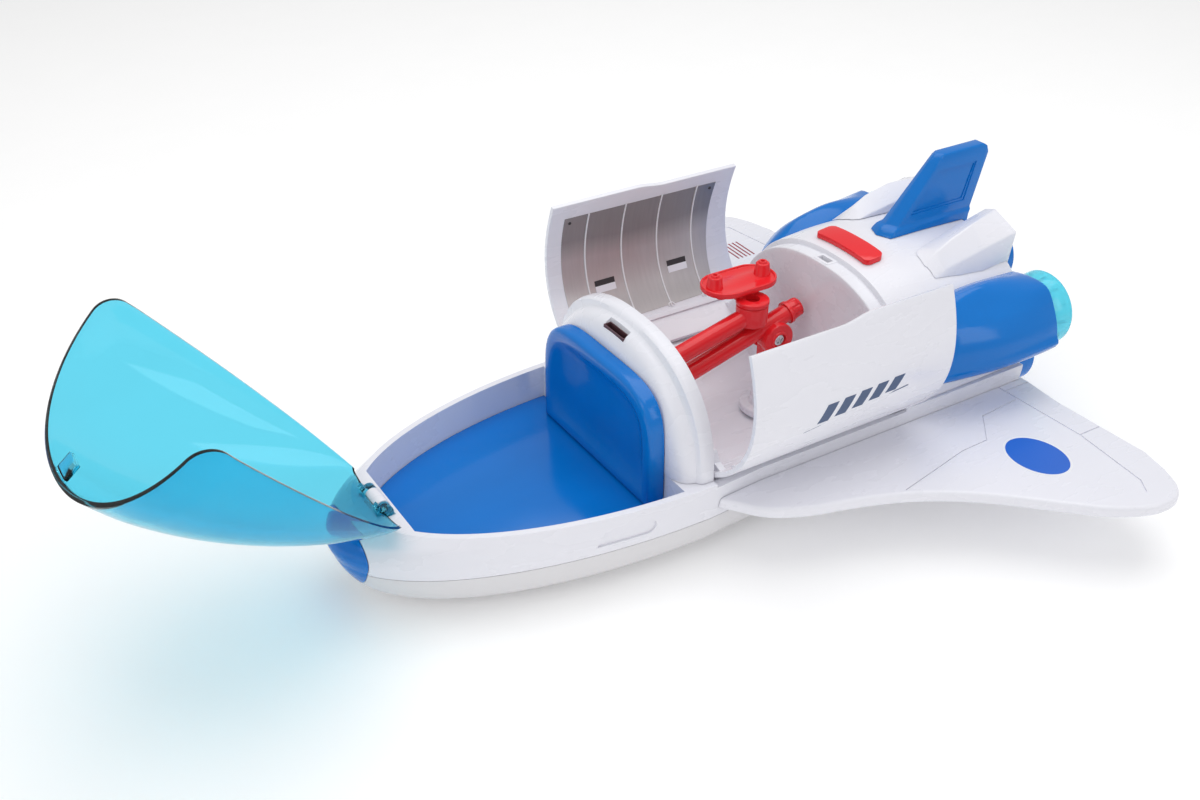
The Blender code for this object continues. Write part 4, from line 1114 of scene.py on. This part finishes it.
def make_booster(tag, side):
    pod = solid(loft([booster_ring(side, row) for row in smooth_sections(BOOSTER_SECTIONS, 5)]))
    round_edges(pod, 1.0, 3, 28)
    cut(pod, deck_solid(GAP))
    fixed(pod, "booster_shell_" + tag, "blue", "booster_" + tag, 28)
    place = (side * NOZZLE_X, BOOSTER_REAR + GAP, NOZZLE_Z)
    nozzle = solid(turned(NOZZLE_PROFILE, place, steps=72))
    rib = box((-0.35, -1.2, 0.0), (0.35, 0.6, 4.0))
    bmesh.ops.translate(rib, vec=(0, 14.6, 4.4), verts=rib.verts)
    ribs = repeated(solid(rib), NOZZLE_RIBS, turn=(0, 0, 360 / NOZZLE_RIBS))
    ribs.data.transform(pivot_turn(place, -90.0))
    combine(nozzle, ribs, "UNION")
    round_edges(nozzle, 0.3)
    cut(nozzle, deck_solid(GAP))
    fixed(nozzle, "nozzle_dish_" + tag, "clear_light", "booster_nozzle_" + tag)


def make_rear_pod(tag, side):
    """White pod beside the fin, with flat facets, let down into the deck."""
    rings = []
    for y, *points in REAR_POD_SECTIONS:
        section = [(points[0][0], 40.0)] + points + [(points[3][0] - 4.0, 36.0)]
        rings.append([(side * x, y, z) for x, z in section])
    pod = solid(loft(rings))
    round_edges(pod, 0.9, 4, 12)
    cut(pod, deck_solid(GAP))
    fixed(pod, "rear_pod_shell_" + tag, "white", "rear_pod_" + tag,
          20)


def fin_half_width(z):
    """Half the fin's thickness at one height of its flat side."""
    foot, top = FIN_FLAT
    return foot[3] + (top[3] - foot[3]) * (z - foot[0]) / (top[0] - foot[0])


def fin_pocket(side, depth, inset):
    """Block that sinks a panel in the fin's side, smaller all round by an inset."""
    rings = []
    for lift in (-depth, 2.0):
        corners = []
        for (z, front, rear), up in zip(FIN_PANEL, (1, -1)):
            z += up * inset
            x = side * (fin_half_width(z) + lift)
            corners.append([(x, front + inset * 1.6, z), (x, rear - inset, z)])
        rings.append(corners[0] + corners[1][::-1])
    return loft(rings)


def make_fin():
    fin = solid(loft([[(half, front + 3, z), (half, rear, z), (-half, rear, z),
                       (-half, front + 3, z), (0, front, z)]
                      for z, front, rear, half in FIN_SECTIONS]))
    round_edges(fin, 0.7, 3, 20)
    for _, side in SIDES:
        cut(fin, fin_pocket(side, 0.45, 0.0), fin_pocket(side, 0.9, 1.1))
    cut(fin, deck_solid(GAP))
    fixed(fin, "fin_shell", "blue", "tail_fin", 25)


def make_button():
    button = solid(prism(rounded_outline(0, BUTTON_Y, 18.0, 5.15, 3.0, 10), 50.0, 64.0))
    combine(button, solid(deck_solid(BUTTON_RISE)), "INTERSECT")
    round_edges(button, 0.9, 4, 50)
    cut(button, deck_solid(GAP))
    fixed(button, "launch_bar", "red", "launch_button")


def make_tail():
    plate = solid(prism(TAIL_OUTLINE, HULL_REAR + GAP, BELL_START - GAP, "Y"))
    round_edges(plate, 1.0, 4)
    fixed(plate, "tail_board", "blue", "tail_plate")
    outer, lip = spline(BELL_PROFILE[1:6], 3), BELL_PROFILE[6:8]
    profile = BELL_PROFILE[:1] + outer + lip + spline(BELL_PROFILE[8:13], 3) + BELL_PROFILE[13:]
    for tag, x, z in BELL_PLACES:
        bell = solid(turned(profile, (x, BELL_START, z), steps=80))
        name = "engine_bell_" + tag
        fixed(bell, "engine_bell_shell_" + tag, "blue", name)


# Bay doors, drawn shut from their hinge

def door_edge(side, y):
    """How far a door's free edge stays from the middle of the bay."""
    start, end = SEAM_BEND
    share = min(1.0, max(0.0, (y - start) / (end - start)))
    seam = SEAM_FRONT + (SEAM_REAR - SEAM_FRONT) * share * share * (3 - 2 * share)
    return side * seam + 0.4


def door_skin(angle):
    """Outer skin of a shut door, across the toy, at an angle of its arch."""
    return Vector((ARCH_WIDTH * cos(angle) ** (2 / ARCH_POWER),
                   ARCH_BASE + (ARCH_HEIGHT - ARCH_BASE) * sin(angle) ** (2 / ARCH_POWER)))


def door_point(side, t, y, depth):
    """Point of a shut door, from its hinge, at an angle in degrees and a depth under its skin."""
    angle = min(radians(t), pi / 2 - 1e-4)
    along = door_skin(min(angle + 0.01, pi / 2 - 1e-5)) - door_skin(max(angle - 0.01, 1e-4))
    place = door_skin(angle)
    edge = door_edge(side, y)
    if place.x < SEAM_SPREAD:
        place.x = edge + place.x * (SEAM_SPREAD - edge) / SEAM_SPREAD
    place += Vector((-along.y, along.x)).normalized() * depth
    return (side * (place.x - DOOR_AXIS_X), y, max(place.y, DOOR_BOTTOM) - DOOR_AXIS_Z)


def door_patch(side, quad, low, high, steps=24):
    """Thin block that follows a door between two depths; quad holds angle and y of its corners."""
    bottom_left, bottom_right, top_right, top_left = (Vector(corner) for corner in quad)
    skins = []
    for depth in (low, high):
        rows = []
        for i in range(steps + 1):
            ends = (bottom_left.lerp(top_left, i / steps), bottom_right.lerp(top_right, i / steps))
            rows.append([door_point(side, t, y, depth) for t, y in ends])
        skins.append(rows)
    return shell(*skins)


def door_strip(side, angles, ys, depths, steps=6):
    """Patch between two angles and two places along the door, as a working object."""
    (low, high), (front, rear) = angles, ys
    quad = [(low, front), (low, rear), (high, rear), (high, front)]
    return solid(door_patch(side, quad, *depths, steps))


def make_door_shell(side):
    angles = [0.0] + [0.4 + 89.6 * i / 60 for i in range(61)]
    stations = [DOOR_FRONT + (DOOR_REAR - DOOR_FRONT) * i / 48 for i in range(49)]
    skins = [[[door_point(side, t, y, depth) for t in angles] for y in stations]
             for depth in (0.0, DOOR_WALL)]
    door = solid(shell(*skins))
    ear = [(side * x, z) for x, z in DOOR_EAR]
    for low, high, pin_low, pin_high in ((3.0, 6.0, -4.0, 4.0), (90.0, 93.0, 92.0, 108.0)):
        weld(door, prism(ear, low, high, "Y"),
             rod((0, pin_low, 0), (0, pin_high, 0), DOOR_PIN, sides=24))
    combine(door, door_strip(side, (12.5, 15.0), (7.5, 90.0), (1.9, 3.0), 4), "UNION")
    round_edges(door, 0.45, 3)
    return door


def make_door_ribs(side, count):
    """Curved ribs over the foil, each with a small loop at its foot."""
    rib = door_strip(side, (17.0, 85.3), (RIB_START - 0.3, RIB_START + 0.3), (2.2, 2.7), 40)
    foot = Vector(door_point(side, 17.5, RIB_START, 2.3))
    over = (Vector(door_point(side, 20.0, RIB_START, 2.3)) - foot).normalized()
    bend = [foot + over * up + Vector((0, along, 0))
            for along, up in arc((0, 0), (1.7, 1.7), 0, 1, 16)]
    loop = merged(*[solid(rod(start, end, 0.42, sides=10)) for start, end in zip(bend, bend[1:])])
    return merged(*[repeated(part, count, "mark_white", (0, RIB_STEP, 0)) for part in (rib, loop)])


def make_door(tag, side, sizes):
    def add(obj, name, finish, nodes=()):
        pivot = pivot_turn((side * DOOR_AXIS_X, 0, DOOR_AXIS_Z), side * DOOR_OPEN, "Y")
        piece(obj, name + "_" + tag, "bay_door_" + tag, finish, nodes,
              pivot)

    add(make_door_shell(side), "door_shell", "white", ["bay_door_" + tag])
    add(solid(door_patch(side, FOIL_AREA, 1.95, FOIL_DEPTH, 40)), "door_foil", "silver")
    add(make_door_ribs(side, sizes.rib_count), "door_ribs", "mark_white")
    # the near-black patch is painted shadow in the upper half of each catch slot; the white lip
    # below it is the door's own plastic
    for name, finish, angles, depths in (
            ("door_slots", "shadow", (41.0, 44.6), (2.2, 2.4)),
            ("door_slot_lips", "white", (37.0, 41.2), (2.2, 2.55))):
        add(merged(*[door_strip(side, angles, (y, y + CATCH_LENGTH), depths)
                     for y in CATCH_PLACES]), name, finish)
    # the rivets take the same near-black colour
    add(merged(*[solid(rod(door_point(side, t, y, 2.1), door_point(side, t, y, 2.65), 0.85, 0.6,
                           20)) for t, y in RIVET_PLACES]), "door_rivets", "shadow")
    bars = []
    for i in range(BAR_COUNT):
        y = 36.0 + BAR_STEP * i
        low, high = 49.5 + 1.1 * i, 59.5 + 0.5 * i
        bars.append(([(low, y - 3.0), (low, y + 2.6), (high, y + 6.4), (high, y + 0.8)], 8))
    bars.append(([(46.4, 27.0), (53.4, 80.0), (54.2, 80.0), (46.6, 27.0)], 2))
    height = sizes.print_height / MM
    add(merged(*[solid(door_patch(side, quad, 0.02, -height, steps)) for quad, steps in bars]),
        "door_bars", "mark")


# Canopy, drawn shut from its hinge

def canopy_row(y, width, height, points=72):
    row = []
    for i in range(points + 1):
        angle = pi * i / points
        row.append((width * curve_power(cos(angle), CANOPY_POWER), y - CANOPY_AXIS.y,
                    ARCH_BASE + height * curve_power(sin(angle), CANOPY_POWER) - CANOPY_AXIS.z))
    return row


def canopy_corner(rear, foot, steps=24):
    """What lies outside the canopy's rounded lower corner."""
    radius = CANOPY_CORNER
    outline = [(1.0, -1.0), (1.0, radius)]
    for i in range(steps + 1):
        angle = pi / 2 * i / steps
        outline.append((radius * cos(angle) - radius, radius - radius * sin(angle)))
    return [(rear + a, foot + b) for a, b in outline + [(-radius, -1.0)]]


def make_canopy():
    outer, inner = [], []
    steps = 48
    rise = ARCH_HEIGHT - ARCH_BASE - CANOPY_FRONT_HEIGHT
    for i in range(steps + 1):
        t = i / steps
        y = CANOPY_REAR + (CANOPY_FRONT - CANOPY_REAR) * t
        width = min(ARCH_WIDTH + 14 * t,
                    RIM_HALF_WIDTH * sqrt(1 - (y / RIM_REACH) ** 2) - CANOPY_SIDE_GAP)
        height = CANOPY_FRONT_HEIGHT + rise * (1 - t ** 1.9)
        outer.append(canopy_row(y, width, height))
        inner.append(canopy_row(y, width - CANOPY_WALL, height - CANOPY_WALL))
    canopy = solid(shell(outer, inner, 1), 2)
    rear = CANOPY_REAR - CANOPY_AXIS.y
    front = CANOPY_FRONT - CANOPY_AXIS.y
    cut(canopy, prism(canopy_corner(rear, ARCH_BASE - CANOPY_AXIS.z), -70, 70, "X", 1),
        cross_rod(EAR_IN - 0.1, LUG_RADIUS + GAP))
    latch = solid(box((-5.0, rear - 3.0, 46.5 - CANOPY_AXIS.z),
                      (5.0, rear - 1.4, 54.5 - CANOPY_AXIS.z), 1), 2)
    round_edges(latch, 0.5, 3)
    combine(canopy, latch, "UNION")
    for _, side in SIDES:
        low, high = sorted((side * EAR_IN, side * EAR_OUT))
        weld(canopy, box((low, 0.0, -0.6), (high, front + 3.0, 1.4)),
             rod((low, 0, 0), (high, 0, 0), EAR_RADIUS))
    weld(canopy, cross_rod(EAR_OUT - 1, 1.3, 24))
    round_edges(canopy, 0.35, 3, 40)
    piece(canopy, "canopy_dome", "canopy", "clear rim", ["canopy"],
          pivot_turn(CANOPY_AXIS, CANOPY_OPEN), 40)


def make_hinge():
    y, z = CANOPY_AXIS.y, CANOPY_AXIS.z
    half = EAR_IN - GAP
    foot = POCKET_FLOOR + GAP
    lug = solid(cross_rod(half, LUG_RADIUS, y=y, z=z))
    weld(lug, box((-half, y - LUG_RADIUS, foot), (half, y + LUG_RADIUS, z)),
         box((0.2 - half, POCKET_FRONT + GAP, foot), (half - 0.2, y, 3.2)))
    cut(lug, cross_rod(half + 1, 1.6, 32, y, z))
    round_edges(lug, 0.35, 3)
    fixed(lug, "canopy_lug", "white", "canopy_hinge")


# Arm, drawn as it rests, each link from its own joint

def round_disc(start, end, radius, width, end_radius=None, sides=64, segments=3):
    """Short bar with rounded rims, as a working object."""
    disc = solid(rod(start, end, radius, end_radius, sides))
    round_edges(disc, width, segments)
    return disc


def make_turret():
    x, y, z = SHOULDER
    foot = TURRET_FOOT
    mount = round_disc((x, y, foot), (x, y, foot + 4), 12.0, 1.0, sides=72, segments=4)
    weld(mount, rod((x, y, foot + 3), (x, y, foot + 14), 8.0, 6.6, 64))
    round_edges(mount, 0.5, 3, 50)
    fixed(mount, "arm_mount", "white")
    turret = solid(box((x - TONGUE, y - 5.5, foot + TURRET_RISE), (x + TONGUE, y + 5.5, z)))
    weld(turret, cross_rod(TONGUE, SHOULDER_EYE, 64, y, z, x))
    round_edges(turret, 0.5, 3, 50)
    fixed(turret, "arm_foot", "red", "arm_turret")


def make_arm():
    span = SHOULDER - ELBOW
    along = span.normalized()
    over = Vector((0, -along.z, along.y)) * ARM_OFFSET
    tube = (over * 2 + span).normalized()
    make_lower_link(span, over, tube)
    make_upper_link(WRIST - ELBOW, over + along)
    make_foot_plate()


def make_lower_link(span, over, tube):
    """Link from the elbow past the shoulder, with a fluted cap on its end and a screw."""
    elbow = {"y": -span.y, "z": -span.z}
    lower = solid(rod(tube - over - span, over + tube * 16.0, ARM_TUBE, sides=64))
    for x in (CHEEK, -CHEEK):
        combine(lower, round_disc((x - 2, 0, 0), (x + 2, 0, 0), 8.0, 0.7), "UNION")
        cut(lower, cross_rod(2.3, 7.0, 64, middle=x, **elbow))
    cap = round_disc((0, 0, 0), (0, 0, 6.0), 4.9, 0.8, 4.5)
    flutes = repeated(solid(rod((5.3, 0, 0.9), (5.1, 0, 5.0), 0.85, sides=20)), 8,
                      turn=(0, 0, 45))
    combine(cap, flutes, "DIFFERENCE")
    cap.data.transform(Matrix.Translation(over + tube * 10.5) @ turn_from_up(tube))
    combine(lower, cap, "UNION")
    weld(lower, rod(over + tube * 9.0, over + tube * 10.6, 5.4, sides=64),
         cross_rod(TONGUE, ELBOW_EYE, 64, **elbow))
    boss = round_disc((CHEEK + 1.9, 0, 0), (CHEEK + 2.6, 0, 0), 4.6, 0.3, 4.3)
    combine(lower, boss, "UNION")
    cut(lower, rod((CHEEK + 1.3, 0, 0), (CHEEK + 3.0, 0, 0), 3.3),
        cross_rod(TONGUE + GAP, SHOULDER_EYE + 0.4, 64))
    round_edges(lower, 0.45, 3, 50)
    pivot = pivot_turn(SHOULDER)
    piece(lower, "arm_lower_link", "arm_lower", "red", ["arm_lower"], pivot)
    head = cross_screw(2.9, 1.0)
    head.data.transform(pivot_turn((CHEEK + 1.35, 0, 0), 90.0, "Y")
                        @ Matrix.Rotation(0.5, 4, "Z"))
    piece(head, "shoulder_screw", "arm_lower", "chrome", pivot=pivot)


def make_upper_link(wrist, start):
    """Link from the elbow to the ring under the foot plate."""
    upper = solid(rod(start, (0, wrist.y, wrist.z - 5.0), ARM_TUBE, sides=64))
    for x in (CHEEK, -CHEEK):
        combine(upper, round_disc((x - 2, 0, 0), (x + 2, 0, 0), 6.6, 0.6), "UNION")
    ring = round_disc(wrist - Vector((0, 0, 9.5)), wrist, WRIST_RING, 0.8, None, 72, 4)
    combine(upper, ring, "UNION")
    cut(upper, cross_rod(TONGUE + GAP, ELBOW_EYE + 0.5, 64),
        rod(wrist - Vector((0, 0, 6.0)), wrist + Vector((0, 0, 1)), WRIST_PIN))
    round_edges(upper, 0.4, 3, 50)
    piece(upper, "arm_upper_link", "arm_upper", "red", ["arm_upper"],
          pivot_turn(ELBOW))


def stadium(radius, low, high, steps=32):
    """Plate with round ends beside the wrist."""
    outline = []
    for start, y in ((0, PLATE_STRAIGHT), (1, -PLATE_STRAIGHT)):
        outline += arc((PLATE_X, y), (radius, radius), start, start + 1, steps)
    return prism(outline, low, high)


def make_foot_plate():
    plate = solid(stadium(PLATE_RADIUS, PLATE_LOW, PLATE_TOP))
    cut(plate, stadium(PLATE_RADIUS - 1.1, PLATE_TOP - 0.9, PLATE_TOP + 1.0))
    round_edges(plate, 0.45, 3)
    combine(plate, round_disc((0, 0, GAP), (0, 0, 2.6), 7.7, 0.6, sides=72), "UNION")
    weld(plate, box((-7.0, -5.0, GAP), (-3.0, 5.0, PLATE_LOW + 1.0)))
    for y in (-PEG_Y, PEG_Y):
        def upright(low, high, radius, end_radius=None, sides=48, y=y):
            return rod((PLATE_X, y, low), (PLATE_X, y, high), radius, end_radius, sides)

        peg = solid(upright(PLATE_TOP - 1.6, PEG_TOP - 0.8, 4.0, 3.1))
        round_edges(peg, 0.5, 3)
        weld(peg, upright(PEG_TOP - 1.4, PEG_TOP, 2.1, 1.9, 40))
        cut(peg, upright(PEG_TOP - 2.5, PEG_TOP + 1.0, 1.0, sides=24))
        combine(plate, peg, "UNION")
        weld(plate, upright(0.6, PLATE_LOW + 1.0, 2.4, 3.0, 40, y * 0.7))
    cut(plate, rod((0, 0, -1), (0, 0, 3.2), WRIST_PIN))
    round_edges(plate, 0.3, 2, 50)
    piece(plate, "arm_foot_plate", "foot_plate", "red", ["foot_plate"],
          pivot_turn(WRIST))


# Wheels

def tyre(x, width):
    """Moulded wheel with a rounded tread, a sunk hub face and cross ribs."""
    half = width / 2
    side = [(0.0, 0.4), (1.4, 0.4), (2.6, 0.4), (2.9, 0.9), (4.4, 0.9), (4.8, 0.0), (5.6, 0.0),
            (6.0, 0.15), (6.25, 0.6)]
    profile = [(radius, inset - half) for radius, inset in side]
    profile += [(radius, half - inset) for radius, inset in reversed(side)]
    core = solid(turned(profile, (0, 0, 0), 0.0, 72))
    rib = solid(box((WHEEL_RADIUS - 0.6, -0.32, 0.7 - half),
                    (WHEEL_RADIUS - 0.01, 0.32, half - 0.7)))
    ribs = repeated(rib, TREAD_RIBS, turn=(0, 0, 360 / TREAD_RIBS))
    round_edges(core, 0.12, 2, 40)
    wheel = merged(core, ribs)
    wheel.data.transform(pivot_turn((x, 0, 0), 90.0, "Y"))
    return wheel


def make_wheels():
    half = WHEEL_WIDTH / 2 + 1.2
    for tag, side in SIDES:
        wheel = merged(tyre(0, WHEEL_WIDTH), solid(cross_rod(half, AXLE_RADIUS)))
        name = "wheel_" + tag
        piece(wheel, "road_" + name, name, "tyre", [name],
              pivot_turn((side * MAIN_WHEEL_X, MAIN_WHEEL_Y, AXLE_Z)))
    nose = merged(*[tyre(side * NOSE_WHEEL_X, NOSE_WHEEL_WIDTH) for side in (-1, 1)],
                  solid(cross_rod(9.2, AXLE_RADIUS)))
    piece(nose, "nose_wheels", "wheel_nose", "tyre", ["wheel_nose"],
          pivot_turn((0, NOSE_WHEEL_Y, AXLE_Z)))


# Stage

def make_floor():
    half = FLOOR_HALF / MM
    floor = solid(box((-half, -half, -20), (half, half, 0)))
    floor.data.transform(Matrix.Scale(MM, 4))
    floor.name = "studio_floor"
    floor.data.materials.clear()
    floor.data.materials.append(finish_named("paper"))


def make_lights():
    scene = bpy.context.scene
    scene.world = bpy.data.worlds.new("studio")
    scene.world.use_nodes = True
    sky = scene.world.node_tree.nodes["Background"].inputs
    sky["Color"].default_value = (1.0, 1.0, 1.0, 1.0)
    sky["Strength"].default_value = WORLD_LIGHT
    scene.view_settings.view_transform = "Standard"
    for name, place, size, power in LIGHTS:
        light = bpy.data.lights.new(name, "AREA")
        light.shape = "RECTANGLE"
        light.size, light.size_y = size
        light.energy = power
        lamp = bpy.data.objects.new(name, light)
        lamp.location = place
        aim = Vector(LIT_PLACE) - Vector(place)
        lamp.rotation_euler = aim.to_track_quat("-Z", "Y").to_euler()
        scene.collection.objects.link(lamp)


def make_camera():
    azimuth, elevation = radians(CAMERA_AZIMUTH), radians(CAMERA_ELEVATION)
    roll = radians(CAMERA_ROLL)
    back = Vector((sin(azimuth) * cos(elevation), -cos(azimuth) * cos(elevation),
                   sin(elevation)))
    right = Vector((cos(azimuth), sin(azimuth), 0.0))
    up = back.cross(right)
    across = right * cos(roll) + up * sin(roll)
    upward = up * cos(roll) - right * sin(roll)
    camera = bpy.data.cameras.new("camera")
    camera.sensor_width = 36.0
    camera.lens = CAMERA_LENS
    camera.clip_start = 0.01
    obj = bpy.data.objects.new("camera", camera)
    turn = Matrix((across, upward, back)).transposed().to_4x4()
    obj.matrix_world = Matrix.Translation((CAMERA_PLACE + DATUM) * MM) @ turn
    bpy.context.scene.collection.objects.link(obj)
    bpy.context.scene.camera = obj


# Operators, one for each group of pieces

class SHUTTLE_OT_hull(Operator):
    """Build the upper hull, the belly with its screws, and the nose cap"""

    bl_idname = "shuttle.hull"
    bl_label = "Hull"

    def execute(self, context):
        edge = context.scene.shuttle_sizes.edge_radius / MM
        make_hull(edge)
        make_belly(edge)
        make_belly_screws()
        make_nose_cap(edge)
        return {"FINISHED"}


class SHUTTLE_OT_cockpit(Operator):
    """Build the cockpit floor and the seat back"""

    bl_idname = "shuttle.cockpit"
    bl_label = "Cockpit"

    def execute(self, context):
        make_cockpit()
        return {"FINISHED"}


class SHUTTLE_OT_bay(Operator):
    """Build the front arch, the bay liner and the aft deck"""

    bl_idname = "shuttle.bay"
    bl_label = "Cargo Bay"

    def execute(self, context):
        make_arch()
        make_tub()
        make_deck()
        return {"FINISHED"}


class SHUTTLE_OT_wings(Operator):
    """Build both wings with their panel lines and prints"""

    bl_idname = "shuttle.wings"
    bl_label = "Wings"

    def execute(self, context):
        sizes = context.scene.shuttle_sizes
        for tag, side in SIDES:
            make_wing(tag, side, sizes)
            make_wing_prints(tag, sizes)
        return {"FINISHED"}


class SHUTTLE_OT_boosters(Operator):
    """Build the blue boosters and their clear nozzles"""

    bl_idname = "shuttle.boosters"
    bl_label = "Boosters"

    def execute(self, context):
        for tag, side in SIDES:
            make_booster(tag, side)
        return {"FINISHED"}


class SHUTTLE_OT_tail(Operator):
    """Build the rear pods, the fin, the button, the tail board and the engine bells"""

    bl_idname = "shuttle.tail"
    bl_label = "Tail"

    def execute(self, context):
        for tag, side in SIDES:
            make_rear_pod(tag, side)
        make_fin()
        make_button()
        make_tail()
        return {"FINISHED"}


class SHUTTLE_OT_doors(Operator):
    """Build the two bay doors with their foil, ribs and prints"""

    bl_idname = "shuttle.doors"
    bl_label = "Bay Doors"

    def execute(self, context):
        for tag, side in SIDES:
            make_door(tag, side, context.scene.shuttle_sizes)
        return {"FINISHED"}


class SHUTTLE_OT_canopy(Operator):
    """Build the clear canopy and its lug"""

    bl_idname = "shuttle.canopy"
    bl_label = "Canopy"

    def execute(self, context):
        make_canopy()
        make_hinge()
        return {"FINISHED"}


class SHUTTLE_OT_arm(Operator):
    """Build the arm's foot, its two links and the foot plate"""

    bl_idname = "shuttle.arm"
    bl_label = "Arm"

    def execute(self, context):
        make_turret()
        make_arm()
        return {"FINISHED"}


class SHUTTLE_OT_wheels(Operator):
    """Build the main wheels and the nose wheels"""

    bl_idname = "shuttle.wheels"
    bl_label = "Wheels"

    def execute(self, context):
        make_wheels()
        return {"FINISHED"}


class SHUTTLE_OT_stage(Operator):
    """Build the floor, the lights and the camera"""

    bl_idname = "shuttle.stage"
    bl_label = "Stage"

    def execute(self, context):
        make_floor()
        make_lights()
        make_camera()
        return {"FINISHED"}


OPERATORS = (
    SHUTTLE_OT_hull, SHUTTLE_OT_cockpit, SHUTTLE_OT_bay, SHUTTLE_OT_wings,
    SHUTTLE_OT_boosters, SHUTTLE_OT_tail, SHUTTLE_OT_doors, SHUTTLE_OT_canopy,
    SHUTTLE_OT_arm, SHUTTLE_OT_wheels, SHUTTLE_OT_stage,
)


class SHUTTLE_PT_panel(Panel):
    """List the shuttle's sizes, colours and pieces"""

    bl_idname = "SHUTTLE_PT_panel"
    bl_label = "Toy Space Shuttle"
    bl_space_type = "VIEW_3D"
    bl_region_type = "UI"
    bl_category = "Shuttle"

    def draw(self, context):
        layout = self.layout
        for group in (context.scene.shuttle_sizes, context.scene.shuttle_colours):
            for name in group.__annotations__:
                layout.prop(group, name)
        for operator in OPERATORS:
            layout.operator(operator.bl_idname)


CLASSES = (ShuttleSizes, ShuttleColours, *OPERATORS, SHUTTLE_PT_panel)


def register():
    for cls in CLASSES:
        bpy.utils.register_class(cls)
    bpy.types.Scene.shuttle_sizes = PointerProperty(type=ShuttleSizes)
    bpy.types.Scene.shuttle_colours = PointerProperty(type=ShuttleColours)


def unregister():
    del bpy.types.Scene.shuttle_colours
    del bpy.types.Scene.shuttle_sizes
    for cls in reversed(CLASSES):
        bpy.utils.unregister_class(cls)


def main():
    register()
    for operator in OPERATORS:
        group, name = operator.bl_idname.split(".")
        getattr(getattr(bpy.ops, group), name)()


if __name__ == "__main__":
    main()
